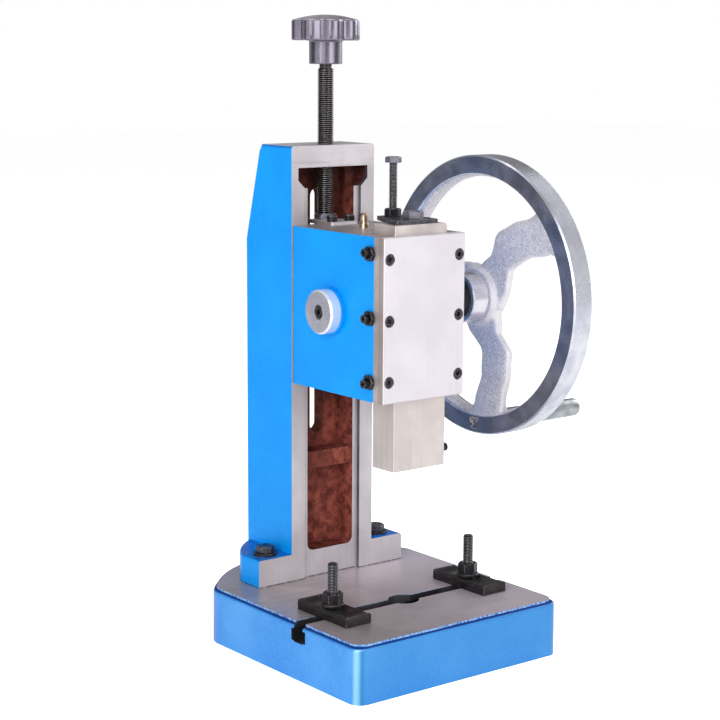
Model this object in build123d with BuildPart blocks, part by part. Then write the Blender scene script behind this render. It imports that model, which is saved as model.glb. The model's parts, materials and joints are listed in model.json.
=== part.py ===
from build123d import *
import math
import os

# Bench arbor press with a height-adjustable head, a rack-driven ram and a handwheel.
# Millimetres.  +Z is up, -Y is the operator's side and +X is the handwheel's side.
# The origin is on the bench, on the column's plane of symmetry, under the table's T-slot.

# ---------------------------------------------------------------- driving dimensions
# base casting
table_width = 240.0          # ground table, across X
table_top = 55.0             # bench to ground table
land_step = 2.8              # the ground land stands this far above the painted rim
rim_fillet = 2.8             # round of the painted rim
rim_inset = 3.2              # painted shelf round the land
base_draft = 0.4             # degrees of casting draft on the base's sides
table_front = -86.0
rear_arc_centre = 59.0       # Y of the round rear end's centre
rear_arc_radius = 145.0
front_corner = 13.0
base_wall = 12.0
base_roof = 25.0
rear_blend = 24.0            # blend between the straight sides and the round rear end
slot_rib = 44.0              # solid band under the T-slot
base_rib = 12.0
cross_rib_y = 108.0

# T-slot and table bore
slot_mouth = 13.5
slot_tee_width = 21.5
slot_tee_low = 37.0
slot_tee_high = 48.5
table_bore = 30.0

# column casting
column_width = 100.0
column_front = 111.0
column_depth = 78.0
column_top = 484.0
column_taper_start = 390.0
column_taper = 27.0          # how much shallower the column is at its very top
flange_half_width = 89.5
flange_height = 27.5
flange_arc_centre = 102.5
flange_arc_radius = 97.5
channel_half_width = 34.0
channel_depth = 4.0
recess_half_width = 28.0
recess_low = 82.0
bridge_height = 21.0
window_half_width = 42.0
window_height = 16.0
web_front = column_front + 27.0
web_thickness = 15.0
rear_wall = 12.0
rear_ribs = [132.0, 456.0]   # undersides of the two ribs across the open back
rear_rib_thickness = 10.0
recess_corner = 7.0
window_depth = 18.0
clamp_slot_width = 16.4
clamp_slot_low = 196.0
clamp_slot_high = 441.0
rib_low = 164.5
rib_high = 181.5

# head casting
head_width = 97.0
head_front = -21.0
head_low = 255.0
head_height = 153.0
tongue_depth = 3.8
head_clearance = 0.05        # between the head and the column's ways

# ram, gib and rack
ram_x = 2.0                  # the ram's centre: the gib pushes it off the middle
ram_width = 62.0
ram_depth = 32.0
ram_low = 187.5
ram_length = 230.0
slide_clearance = 0.05
tool_bore = 12.0
tool_bore_depth = 32.0
rack_width = 20.0
rack_x = -14.0
rack_low = 276.0
rack_length = 72.0

# gear pair
gear_module = 2.0
pinion_teeth = 20
pressure_angle = 20.0
backlash = 0.16
pinion_y = 50.0
pinion_z = 333.0

# shaft and handwheel
journal = 25.0
running_clearance = 0.04
wheel_seat = 20.0
boss_diameter = 58.0
left_boss_diameter = 45.0
cap_diameter = 42.0
boss_end = 80.0
collar_end = 108.0
wheel_diameter = 280.0
rim_left = 133.0
rim_width = 24.0
rim_radial = 19.0
hub_diameter = 51.0
hub_length = 44.0
handle_radius = 129.5        # crank radius of the revolving handle
handle_end = 275.0
handle_diameter = 18.6

# lead screw and knob
screw_y = 124.0
screw_diameter = 16.0
knob_low = 561.0
knob_lobe_low = 583.5
knob_top = 608.0
knob_diameter = 67.0
knob_lobes = 8

# clamps
clamp_x = 83.5
strap_width = 29.0
strap_front = -40.0
strap_rear = 36.0
strap_thickness = 9.8
stud_top = 105.5

# ---------------------------------------------------------------- derived sizes
head_top = head_low + head_height
head_middle = head_low + head_height / 2
column_rear = column_front + column_depth
flange_top = table_top + flange_height
bridge_low = column_top - bridge_height
web_rear = web_front + web_thickness
ram_front = head_front
ram_rear = ram_front + ram_depth
ram_top = ram_low + ram_length
ram_left = ram_x - ram_width / 2
ram_right = ram_x + ram_width / 2
pitch_radius = gear_module * pinion_teeth / 2
pitch_line = pinion_y - pitch_radius          # Y of the rack's pitch line
rack_tip = pitch_line + gear_module
rack_root = pitch_line - 1.25 * gear_module
tooth_pitch = math.pi * gear_module
half_head = head_width / 2
left_disc_start = -half_head - 4.0
left_disc_end = -64.0
rim_right = rim_left + rim_width
hub_left = collar_end
hub_right = hub_left + hub_length


def polygon(*points):
    """A straight-sided face, placed by its own coordinates in the current sketch."""
    Polygon(*points, align=None)


def round_end_outline(half_width, front, radius, rear_blend):
    """Straight front and sides with one arc across the rear, for the base and its land."""
    shoulder = rear_arc_centre + math.sqrt(radius**2 - half_width**2)
    with BuildSketch() as outline:
        with BuildLine():
            Polyline((-half_width, shoulder), (-half_width, front), (half_width, front), (half_width, shoulder))
            ThreePointArc((half_width, shoulder), (0, rear_arc_centre + radius), (-half_width, shoulder))
        make_face()
        fillet(outline.vertices().group_by(Axis.Y)[0], front_corner)
        fillet(outline.vertices().filter_by(lambda v: abs(v.Y - shoulder) < 0.01), rear_blend)
    return outline.sketch


def hexagon(across_flats):
    """A hexagonal face in the current sketch, flats square to the sketch's Y axis."""
    RegularPolygon(radius=across_flats / 2, side_count=6, major_radius=False)


def save(builder, label):
    """Label one finished piece and write it."""
    builder.part.label = label
    export_step(builder.part, f"parts/{label}.step")


os.makedirs("parts", exist_ok=True)

# ================================================================ base
base_rim = table_top - land_step
base_half = table_width / 2 + rim_inset + base_rim * math.tan(math.radians(base_draft))
base_front = table_front - (base_half - table_width / 2)
base_radius = rear_arc_radius + (base_half - table_width / 2)
foot_bolt_places = [(-69.5, 129.0), (69.5, 129.0), (-21.0, 172.0), (21.0, 172.0)]
foot_bolt = 10.0

with BuildPart() as base:
    with BuildSketch():
        add(round_end_outline(base_half, base_front, base_radius, rear_blend + 2))
    extrude(amount=base_rim, taper=base_draft)
    fillet(base.faces().sort_by(Axis.Z)[-1].edges(), rim_fillet)
    with BuildSketch(Plane.XY.offset(base_rim)):
        add(round_end_outline(table_width / 2, table_front, rear_arc_radius, rear_blend))
    extrude(amount=land_step)
    # cored underside, with a rib along the T-slot and one across the column's seat
    with BuildSketch():
        add(round_end_outline(base_half - base_wall, base_front + base_wall, base_radius - base_wall,
                              rear_blend - 4))
        Rectangle(2 * base_half, slot_rib, mode=Mode.SUBTRACT)
        with Locations((0, cross_rib_y)):
            Rectangle(2 * base_half, base_rib, mode=Mode.SUBTRACT)
        Rectangle(base_rib, 3 * base_radius, mode=Mode.SUBTRACT)
    extrude(amount=table_top - base_roof, mode=Mode.SUBTRACT)
    with BuildSketch(Plane.YZ):
        with Locations((0, (table_top + slot_tee_low) / 2)):
            Rectangle(slot_mouth, table_top - slot_tee_low + 2)
        with Locations((0, (slot_tee_low + slot_tee_high) / 2)):
            Rectangle(slot_tee_width, slot_tee_high - slot_tee_low)
    extrude(amount=table_width, both=True, mode=Mode.SUBTRACT)
    with Locations((ram_x, 0, table_top)):
        Hole(table_bore / 2)
    with Locations(*[(x, y, table_top) for x, y in foot_bolt_places]):
        Hole(foot_bolt / 2, depth=base_roof - 3)
save(base, "base")

# ================================================================ column
with BuildPart() as column:
    with BuildSketch(Plane.XY.offset(table_top)):
        shoulder = flange_arc_centre + math.sqrt(flange_arc_radius**2 - flange_half_width**2)
        with BuildLine():
            Polyline((-flange_half_width, shoulder), (-flange_half_width, column_front),
                     (flange_half_width, column_front), (flange_half_width, shoulder))
            ThreePointArc((flange_half_width, shoulder), (0, flange_arc_centre + flange_arc_radius),
                          (-flange_half_width, shoulder))
        make_face()
    extrude(amount=flange_height)
    fillet(column.faces().sort_by(Axis.Z)[-1].edges().sort_by(Axis.Y)[1:], 2.5)
    with BuildSketch(Plane.YZ):
        polygon((column_front, table_top), (column_rear, table_top), (column_rear, column_taper_start),
                (column_rear - column_taper * 0.84, column_top - 7), (column_rear - column_taper, column_top),
                (column_front, column_top))
    extrude(amount=column_width / 2, both=True)
    outer_corners = column.edges().filter_by(
        lambda e: abs(abs(e.center().X) - column_width / 2) < 0.01 and e.center().Y > column_front + 5
        and e.center().Z > flange_top + 5)
    fillet(outer_corners, 3.0)
    # front recess, left as cast inside the ground channel
    with BuildSketch(Plane.XZ.offset(-column_front)):
        with Locations((0, (recess_low + bridge_low) / 2)):
            RectangleRounded(2 * recess_half_width, bridge_low - recess_low, recess_corner)
    extrude(amount=-(web_front - column_front), mode=Mode.SUBTRACT)
    with BuildSketch(Plane.XZ.offset(-column_front)):
        with Locations((0, (table_top + bridge_low - window_height) / 2)):
            Rectangle(2 * channel_half_width, bridge_low - window_height - table_top)
    extrude(amount=-channel_depth, mode=Mode.SUBTRACT)
    # wider window under the bridge, so that the bracket and nut can pass
    bevel = window_half_width - channel_half_width
    with BuildSketch(Plane.XZ.offset(-column_front)):
        polygon((-window_half_width, bridge_low), (window_half_width, bridge_low),
                (window_half_width, bridge_low - window_height + bevel / 2),
                (channel_half_width, bridge_low - window_height - bevel / 2),
                (-channel_half_width, bridge_low - window_height - bevel / 2),
                (-window_half_width, bridge_low - window_height + bevel / 2))
    extrude(amount=-window_depth, mode=Mode.SUBTRACT)
    # open back: two side walls behind the web
    back_top = column_top - 14
    with BuildSketch(Plane.XZ.offset(-web_rear)):
        with Locations((0, (flange_top + back_top) / 2)):
            RectangleRounded(column_width - 2 * rear_wall, back_top - flange_top, 4.0)
    extrude(amount=-column_depth, mode=Mode.SUBTRACT)
    rib_depth = 18.0
    for height in rear_ribs:
        with BuildSketch(Plane.XY.offset(height)):
            with Locations((0, web_rear + rib_depth / 2)):
                Rectangle(column_width - 2 * rear_wall + 2, rib_depth + 1)
        extrude(amount=rear_rib_thickness)
    with BuildSketch(Plane.XY.offset(rib_low)):
        with Locations((0, (column_front + 8 + web_front) / 2)):
            Rectangle(2 * recess_half_width + 2, web_front - column_front - 7)
    extrude(amount=rib_high - rib_low)
    # clamp slot through the web
    with BuildSketch(Plane.XZ.offset(-web_front)):
        with Locations((0, (clamp_slot_low + clamp_slot_high) / 2)):
            SlotOverall(clamp_slot_high - clamp_slot_low, clamp_slot_width, rotation=90)
    extrude(amount=-web_thickness, mode=Mode.SUBTRACT)
    with Locations((0, screw_y, column_top)):
        Hole(screw_diameter / 2 + running_clearance, depth=bridge_height)
    with Locations(*[(x, y, flange_top) for x, y in foot_bolt_places]):
        Hole(foot_bolt / 2 + 0.75, depth=flange_height)
save(column, "column")

# ================================================================ foot bolts
washer_height = 2.5
foot_washer_diameter = 24.0
foot_bolt_flats = 16.0
foot_bolt_head = 6.6
with BuildPart() as foot_washers:
    with BuildSketch(Plane.XY.offset(flange_top)):
        with Locations(*foot_bolt_places):
            Circle(foot_washer_diameter / 2)
            Circle(foot_bolt / 2 + 0.5, mode=Mode.SUBTRACT)
    extrude(amount=washer_height)
save(foot_washers, "foot_washers")

bolt_seat = flange_top + washer_height
with BuildPart() as foot_bolts:
    with BuildSketch(Plane.XY.offset(bolt_seat)):
        with Locations(*foot_bolt_places):
            hexagon(foot_bolt_flats)
    extrude(amount=foot_bolt_head)
    chamfer(foot_bolts.faces().filter_by(Axis.Z).group_by(Axis.Z)[-1].edges(), 0.8)
    with BuildSketch(Plane.XY.offset(bolt_seat)):
        with Locations(*foot_bolt_places):
            Circle(foot_bolt / 2 - 0.05)
    extrude(amount=-(washer_height + flange_height + 18.0))
save(foot_bolts, "foot_bolts")

# ================================================================ head
channel_left = -33.0
channel_right = ram_right + slide_clearance
ram_pocket_rear = ram_rear + slide_clearance
bush_hole = 46.0
left_bush_hole = 34.0
left_bush_length = 22.0
gib_screw_y = -9.8
gib_screw_spacing = 60.4
gib_screw_middle = 333.2
gib_screw = 8.0
cover_screw_x = 41.5
cover_screw_spacing = 56.5
cover_screw = 6.0
cover_thickness = 8.0
cover_screw_tip = head_front + 6.5
clamp_stud = 12.0
clamp_stud_grip = 22.0       # thread of the clamp studs inside the head
clamp_stud_heights = [296.0, 346.0]
oiler_x = -1.0
oiler_y = 61.0
oiler_thread = 6.0
head_rear = column_front - head_clearance
bracket_screw = 6.0
bracket_screw_depth = 14.0
bracket_screw_places = [(-10.5, 99.0), (10.5, 99.0)]
cover_screw_places = [(x, head_middle + row * cover_screw_spacing)
                      for x in (-cover_screw_x, cover_screw_x) for row in (-1, 0, 1)]
gib_screw_heights = [gib_screw_middle + row * gib_screw_spacing for row in (-1, 0, 1)]

with BuildPart() as head:
    with BuildSketch(Plane.XY.offset(head_low)):
        with Locations((0, (head_front + head_rear) / 2)):
            Rectangle(head_width, head_rear - head_front)
    extrude(amount=head_height)
    fillet(head.edges().filter_by(Axis.Z).group_by(Axis.Y)[-1], 1.5)
    with BuildSketch(Plane.XY.offset(head_low)):
        with Locations((0, head_rear - 2 + (tongue_depth + 2) / 2)):
            Rectangle(2 * (channel_half_width - head_clearance), tongue_depth + 2)
    extrude(amount=head_height)
    # bearing bosses of the pinion shaft
    with BuildSketch(Plane.YZ.offset(half_head - 2)):
        with Locations((pinion_y, pinion_z)):
            Circle(boss_diameter / 2)
    extrude(amount=boss_end - half_head + 2)
    fillet(head.faces().sort_by(Axis.X)[-1].edges(), 2.0)
    with BuildSketch(Plane.YZ.offset(-half_head + 2)):
        with Locations((pinion_y, pinion_z)):
            Circle(left_boss_diameter / 2)
    extrude(amount=left_disc_start + half_head - 2 + 0.4)
    # ram channel, open at the front, the top and the bottom
    with BuildSketch(Plane.XY.offset(head_low)):
        polygon((channel_left, head_front), (channel_right, head_front),
                (channel_right, ram_pocket_rear), (channel_left, ram_pocket_rear))
    extrude(amount=head_height, mode=Mode.SUBTRACT)
    # rack pocket behind it, closed at both ends
    pocket_end = 7.5
    with BuildSketch(Plane.XY.offset(head_low + pocket_end)):
        with Locations((rack_x, (ram_pocket_rear + rack_tip + 1) / 2)):
            Rectangle(rack_width + 2, rack_tip + 1 - ram_pocket_rear + 0.2)
    extrude(amount=head_height - 2 * pocket_end, mode=Mode.SUBTRACT)
    # pinion cavity and shaft bores
    with BuildSketch(Plane.YZ.offset(left_disc_start + left_bush_length)):
        with Locations((pinion_y, pinion_z)):
            Circle(bush_hole / 2)
    extrude(amount=boss_end + half_head, mode=Mode.SUBTRACT)
    with BuildSketch(Plane.YZ.offset(left_disc_start - 1)):
        with Locations((pinion_y, pinion_z)):
            Circle(left_bush_hole / 2)
    extrude(amount=left_bush_length + 8, mode=Mode.SUBTRACT)
    # tapped holes
    with BuildSketch(Plane.XZ.offset(-head_front)):
        with Locations(*cover_screw_places):
            Circle(cover_screw / 2)
    extrude(amount=-(cover_screw_tip - head_front), mode=Mode.SUBTRACT)
    with BuildSketch(Plane.YZ.offset(-half_head)):
        with Locations(*[(gib_screw_y, height) for height in gib_screw_heights]):
            Circle(gib_screw / 2)
    extrude(amount=half_head + channel_left, mode=Mode.SUBTRACT)
    with BuildSketch(Plane.XZ.offset(-(head_rear + tongue_depth))):
        with Locations(*[(0, height) for height in clamp_stud_heights]):
            Circle(clamp_stud / 2)
    extrude(amount=clamp_stud_grip, mode=Mode.SUBTRACT)
    with BuildSketch(Plane.XY.offset(head_top)):
        with Locations(*bracket_screw_places):
            Circle(bracket_screw / 2)
    extrude(amount=-bracket_screw_depth, mode=Mode.SUBTRACT)
    with BuildSketch(Plane.XY.offset(head_top)):
        with Locations((oiler_x, oiler_y)):
            Circle(oiler_thread / 2)
    extrude(amount=-(head_top - pinion_z), mode=Mode.SUBTRACT)
save(head, "head")

# ================================================================ cover plate and its screws
socket_head = 10.0
socket_head_depth = 5.6
cover_screw_key = 5.0
cover_key_depth = 3.6
cover_front = head_front - cover_thickness
with BuildPart() as cover_plate:
    with BuildSketch(Plane.XZ.offset(-head_front)):
        with Locations((0, head_middle)):
            Rectangle(head_width, head_height)
    extrude(amount=cover_thickness)
    chamfer(cover_plate.faces().sort_by(Axis.Y)[0].edges(), 0.7)
    with BuildSketch(Plane.XZ.offset(-cover_front)):
        with Locations(*cover_screw_places):
            Circle(socket_head / 2 + 0.6)
    extrude(amount=-socket_head_depth, mode=Mode.SUBTRACT)
    with BuildSketch(Plane.XZ.offset(-cover_front)):
        with Locations(*cover_screw_places):
            Circle(cover_screw / 2 + 0.3)
    extrude(amount=-cover_thickness, mode=Mode.SUBTRACT)
save(cover_plate, "cover_plate")

screw_floor = cover_front + socket_head_depth
with BuildPart() as cover_screws:
    with BuildSketch(Plane.XZ.offset(-screw_floor)):
        with Locations(*cover_screw_places):
            Circle(socket_head / 2)
    extrude(amount=socket_head_depth - 0.4)
    chamfer(cover_screws.faces().filter_by(Axis.Y).group_by(Axis.Y)[0].edges(), 0.6)
    with BuildSketch(Plane.XZ.offset(-screw_floor)):
        with Locations(*cover_screw_places):
            Circle(cover_screw / 2 - 0.02)
    extrude(amount=-(cover_screw_tip - screw_floor - 0.3))
    with BuildSketch(Plane.XZ.offset(-cover_front)):
        with Locations(*cover_screw_places):
            hexagon(cover_screw_key)
    extrude(amount=-cover_key_depth, mode=Mode.SUBTRACT)
save(cover_screws, "cover_screws")

# ================================================================ gib, its screws and lock nuts
gib_left = channel_left + 0.02
with BuildPart() as gib:
    with BuildSketch(Plane.XY.offset(head_low + 1)):
        polygon((gib_left, ram_front + 0.1), (ram_left - slide_clearance, ram_front + 0.1),
                (ram_left - slide_clearance, ram_rear), (gib_left, ram_rear))
    extrude(amount=head_height - 2)
save(gib, "gib")

gib_places = [(gib_screw_y, height) for height in gib_screw_heights]
gib_screw_end = -half_head - 9.0
gib_screw_key = 4.0
gib_nut_flats = 13.0
gib_nut_thickness = 4.0
with BuildPart() as gib_screws:
    with BuildSketch(Plane.YZ.offset(gib_screw_end)):
        with Locations(*gib_places):
            Circle(gib_screw / 2 - 0.02)
    extrude(amount=channel_left - gib_screw_end)
    with BuildSketch(Plane.YZ.offset(gib_screw_end)):
        with Locations(*gib_places):
            hexagon(gib_screw_key)
    extrude(amount=gib_screw_key, mode=Mode.SUBTRACT)
save(gib_screws, "gib_screws")

with BuildPart() as gib_lock_nuts:
    with BuildSketch(Plane.YZ.offset(-half_head - 0.02)):
        with Locations(*gib_places):
            hexagon(gib_nut_flats)
            Circle(gib_screw / 2 + 0.02, mode=Mode.SUBTRACT)
    extrude(amount=-gib_nut_thickness)
save(gib_lock_nuts, "gib_lock_nuts")

# ================================================================ shaft bushes
with BuildPart() as left_bush:
    with BuildSketch(Plane.YZ.offset(left_disc_start + 0.6)):
        with Locations((pinion_y, pinion_z)):
            Circle(left_bush_hole / 2 - 0.01)
            Circle(journal / 2 + running_clearance, mode=Mode.SUBTRACT)
    extrude(amount=left_bush_length - 0.6)
save(left_bush, "left_bush")

pinion_left = rack_x - rack_width / 2 - 1
pinion_right = rack_x + rack_width / 2 + 1
with BuildPart() as right_bush:
    with BuildSketch(Plane.YZ.offset(pinion_right + 3)):
        with Locations((pinion_y, pinion_z)):
            Circle(bush_hole / 2 - 0.01)
            Circle(journal / 2 + running_clearance, mode=Mode.SUBTRACT)
    extrude(amount=boss_end - pinion_right - 3)
save(right_bush, "right_bush")

# ================================================================ lead screw bracket and its screws
bracket_height = 3.0
bracket_width = 32.0
bracket_front = 92.0
bracket_rear = 133.5
screw_neck = 12.0            # diameter of the lead screw's plain neck in the bracket and the knob
bracket_screw_head = 10.0
bracket_screw_key = 5.0
with BuildPart() as screw_bracket:
    with BuildSketch(Plane.XY.offset(head_top)):
        with Locations((0, (bracket_front + bracket_rear) / 2)):
            RectangleRounded(bracket_width, bracket_rear - bracket_front, 2.5)
        with Locations((0, screw_y)):
            Circle(screw_neck / 2 + running_clearance, mode=Mode.SUBTRACT)
        with Locations(*bracket_screw_places):
            Circle(bracket_screw / 2 + 0.3, mode=Mode.SUBTRACT)
    extrude(amount=bracket_height)
save(screw_bracket, "screw_bracket")

with BuildPart() as bracket_screws:
    with BuildSketch(Plane.XY.offset(head_top + bracket_height)):
        with Locations(*bracket_screw_places):
            Circle(bracket_screw_head / 2)
    extrude(amount=bracket_screw)
    chamfer(bracket_screws.faces().filter_by(Axis.Z).group_by(Axis.Z)[-1].edges(), 0.6)
    with BuildSketch(Plane.XY.offset(head_top + bracket_height)):
        with Locations(*bracket_screw_places):
            Circle(bracket_screw / 2 - 0.02)
    extrude(amount=-(bracket_height + bracket_screw_depth - 1))
    with BuildSketch(Plane.XY.offset(head_top + bracket_height + bracket_screw)):
        with Locations(*bracket_screw_places):
            hexagon(bracket_screw_key)
    extrude(amount=-0.7 * bracket_screw_key, mode=Mode.SUBTRACT)
save(bracket_screws, "bracket_screws")

# ================================================================ oiler
with BuildPart() as oiler:
    with BuildSketch(Plane.XZ.offset(-oiler_y)):
        bottom = head_top - 8
        polygon((oiler_x, bottom), (oiler_x + oiler_thread / 2 - 0.02, bottom),
                (oiler_x + oiler_thread / 2 - 0.02, head_top + 0.02), (oiler_x + 4.8, head_top + 0.02),
                (oiler_x + 4.8, head_top + 3.5), (oiler_x + 3.9, head_top + 4.3),
                (oiler_x + 3.9, head_top + 11.5), (oiler_x + 2.6, head_top + 14.0), (oiler_x, head_top + 14.0))
    revolve(axis=Axis((oiler_x, oiler_y, 0), (0, 0, 1)))
save(oiler, "oiler")

# ================================================================ head clamp behind the web
clamp_plate_front = web_rear + 0.1
clamp_plate_thickness = 10.0
clamp_plate_width = 46.0
clamp_plate_low = 271.0
clamp_plate_high = 371.0
clamp_nut_height = 10.0
clamp_nut_flats = 18.0
clamp_washer_diameter = 24.0
clamp_washer_thickness = 2.5
stud_places = [(0, height) for height in clamp_stud_heights]
stud_front = head_rear + tongue_depth - clamp_stud_grip + 0.5
nut_seat = clamp_plate_front + clamp_plate_thickness + clamp_washer_thickness
with BuildPart() as clamp_studs:
    with BuildSketch(Plane.XZ.offset(-stud_front)):
        with Locations(*stud_places):
            Circle(clamp_stud / 2 - 0.02)
    extrude(amount=-(nut_seat + clamp_nut_height + 3 - stud_front))
save(clamp_studs, "clamp_studs")

with BuildPart() as clamp_plate:
    with BuildSketch(Plane.XZ.offset(-clamp_plate_front)):
        with Locations((0, (clamp_plate_low + clamp_plate_high) / 2)):
            RectangleRounded(clamp_plate_width, clamp_plate_high - clamp_plate_low, 4.0)
        with Locations(*stud_places):
            Circle(clamp_stud / 2 + 0.5, mode=Mode.SUBTRACT)
    extrude(amount=-clamp_plate_thickness)
save(clamp_plate, "clamp_plate")

with BuildPart() as clamp_washers:
    with BuildSketch(Plane.XZ.offset(-(clamp_plate_front + clamp_plate_thickness))):
        with Locations(*stud_places):
            Circle(clamp_washer_diameter / 2)
            Circle(clamp_stud / 2 + 0.5, mode=Mode.SUBTRACT)
    extrude(amount=-clamp_washer_thickness)
save(clamp_washers, "clamp_washers")

with BuildPart() as clamp_nuts:
    with BuildSketch(Plane.XZ.offset(-nut_seat)):
        with Locations(*stud_places):
            hexagon(clamp_nut_flats)
            Circle(clamp_stud / 2 + 0.02, mode=Mode.SUBTRACT)
    extrude(amount=-clamp_nut_height)
save(clamp_nuts, "clamp_nuts")

# ================================================================ ram
tool_screw_height = ram_low + 11.7
tool_screw_y = -3.0
tool_screw_diameter = 8.0
tool_screw_end = 50.0        # the clamp screw's outer end, backed off the tool
rack_screw = 5.0
rack_screw_head = 8.5
rack_screw_seat = 6.0
plate_bolt = 10.0
plate_bolt_depth = 24.0
stop_bolt_diameter = 8.0
rack_screw_heights = [rack_low + 14, rack_low + rack_length / 2, rack_low + rack_length - 14]
rack_screw_places = [(rack_x, height) for height in rack_screw_heights]
stop_bolt_x = 4.6
stop_bolt_y = 24.6
plate_bolt_x = 5.0
plate_bolt_y = -5.0
with BuildPart() as ram:
    with BuildSketch(Plane.XY.offset(ram_low)):
        with Locations((ram_x, (ram_front + slide_clearance + ram_rear) / 2)):
            Rectangle(ram_width, ram_depth - slide_clearance)
    extrude(amount=ram_length)
    chamfer(ram.edges().filter_by(Axis.Z), 0.6)
    fillet(ram.edges().group_by(Axis.Z)[-1].sort_by(Axis.X)[-1], 4.0)
    with BuildSketch(Plane.XY.offset(ram_low)):
        with Locations((ram_x, 0)):
            Circle(tool_bore / 2)
    extrude(amount=tool_bore_depth, mode=Mode.SUBTRACT)
    with BuildSketch(Plane.YZ.offset(ram_right)):
        with Locations((tool_screw_y, tool_screw_height)):
            Circle(tool_screw_diameter / 2)
    extrude(amount=-(ram_right - ram_x), mode=Mode.SUBTRACT)
    # screw holes for the rack, sunk from the front face
    with BuildSketch(Plane.XZ.offset(-ram_front)):
        with Locations(*rack_screw_places):
            Circle(rack_screw_head / 2 + 0.45)
    extrude(amount=-rack_screw_seat, mode=Mode.SUBTRACT)
    with BuildSketch(Plane.XZ.offset(-ram_front)):
        with Locations(*rack_screw_places):
            Circle(rack_screw / 2 + 0.25)
    extrude(amount=-ram_depth, mode=Mode.SUBTRACT)
    with BuildSketch(Plane.XY.offset(ram_top)):
        with Locations((plate_bolt_x, plate_bolt_y)):
            Circle(plate_bolt / 2)
    extrude(amount=-plate_bolt_depth, mode=Mode.SUBTRACT)
save(ram, "ram")

# ================================================================ rack and its screws
flank = math.tan(math.radians(pressure_angle))
half_tooth = tooth_pitch / 4 - backlash / 4
tooth_count = math.ceil(rack_length / tooth_pitch) + 2
rack_end = 3.3               # plain end left above and below the cut teeth
with BuildPart() as rack:
    with BuildSketch(Plane.YZ.offset(rack_x - rack_width / 2)):
        with Locations(((ram_rear + 0.02 + rack_root) / 2, rack_low + rack_length / 2)):
            Rectangle(rack_root - ram_rear - 0.02, rack_length)
        for tooth in range(-tooth_count, tooth_count):
            middle = pinion_z + tooth * tooth_pitch
            if rack_low + rack_end < middle < rack_low + rack_length - rack_end:
                root_half = half_tooth + 1.25 * gear_module * flank
                tip_half = half_tooth - gear_module * flank
                polygon((rack_root - 0.5, middle - root_half), (rack_root, middle - root_half),
                        (rack_tip, middle - tip_half), (rack_tip, middle + tip_half),
                        (rack_root, middle + root_half), (rack_root - 0.5, middle + root_half))
    extrude(amount=rack_width)
    with BuildSketch(Plane.XZ.offset(-ram_rear)):
        with Locations(*rack_screw_places):
            Circle(rack_screw / 2)
    extrude(amount=-(rack_root - ram_rear - 0.8), mode=Mode.SUBTRACT)
save(rack, "rack")

with BuildPart() as rack_screws:
    seat = ram_front + rack_screw_seat
    with BuildSketch(Plane.XZ.offset(-seat)):
        with Locations(*rack_screw_places):
            Circle(rack_screw_head / 2)
    extrude(amount=rack_screw)
    with BuildSketch(Plane.XZ.offset(-seat)):
        with Locations(*rack_screw_places):
            Circle(rack_screw / 2 - 0.02)
    extrude(amount=-(rack_root - 2.0 - seat))
    with BuildSketch(Plane.XZ.offset(-(seat - rack_screw))):
        with Locations(*rack_screw_places):
            hexagon(4.0)
    extrude(amount=-2.8, mode=Mode.SUBTRACT)
save(rack_screws, "rack_screws")

# ================================================================ depth stop on the ram's top
stop_plate_thickness = 4.0
stop_plate_top = ram_top + stop_plate_thickness
plate_bolt_flats = 17.0
plate_bolt_head = 7.0
stop_nut_flats = 14.0
stop_nut_height = 7.2
stop_bolt_flats = 13.5
stop_head_low = 471.5
stop_head_height = 5.5
with BuildPart() as stop_plate:
    with BuildSketch(Plane.XY.offset(ram_top)):
        polygon((-27.0, ram_front + 0.3), (21.5, ram_front + 0.3), (24.0, -4.0), (16.0, 34.5), (-6.5, 34.5),
                (-22.0, -2.0))
        with Locations((plate_bolt_x, plate_bolt_y)):
            Circle(plate_bolt / 2 + 0.5, mode=Mode.SUBTRACT)
        with Locations((stop_bolt_x, stop_bolt_y)):
            Circle(stop_bolt_diameter / 2 + 0.1, mode=Mode.SUBTRACT)
    extrude(amount=stop_plate_thickness)
save(stop_plate, "stop_plate")

with BuildPart() as stop_plate_bolt:
    with BuildSketch(Plane.XY.offset(stop_plate_top)):
        with Locations((plate_bolt_x, plate_bolt_y)):
            hexagon(plate_bolt_flats)
    extrude(amount=plate_bolt_head)
    chamfer(stop_plate_bolt.faces().filter_by(Axis.Z).sort_by(Axis.Z)[-1].edges(), 0.7)
    with BuildSketch(Plane.XY.offset(stop_plate_top)):
        with Locations((plate_bolt_x, plate_bolt_y)):
            Circle(plate_bolt / 2 - 0.03)
    extrude(amount=-(stop_plate_thickness + plate_bolt_depth - 2))
save(stop_plate_bolt, "stop_plate_bolt")

with BuildPart() as stop_lock_nut:
    with BuildSketch(Plane.XY.offset(stop_plate_top)):
        with Locations((stop_bolt_x, stop_bolt_y)):
            hexagon(stop_nut_flats)
            Circle(stop_bolt_diameter / 2 + 0.05, mode=Mode.SUBTRACT)
    extrude(amount=stop_nut_height)
save(stop_lock_nut, "stop_lock_nut")

stop_bolt_tip = head_top + 8.2
with BuildPart() as stop_bolt:
    with BuildSketch(Plane.XY.offset(stop_bolt_tip)):
        with Locations((stop_bolt_x, stop_bolt_y)):
            Circle(stop_bolt_diameter / 2)
    extrude(amount=stop_head_low + 0.5 - stop_bolt_tip)
    with BuildSketch(Plane.XY.offset(stop_head_low)):
        with Locations((stop_bolt_x, stop_bolt_y)):
            hexagon(stop_bolt_flats)
    extrude(amount=stop_head_height)
    chamfer(stop_bolt.faces().filter_by(Axis.Z).sort_by(Axis.Z)[-1].edges(), 0.6)
save(stop_bolt, "stop_bolt")

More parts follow.
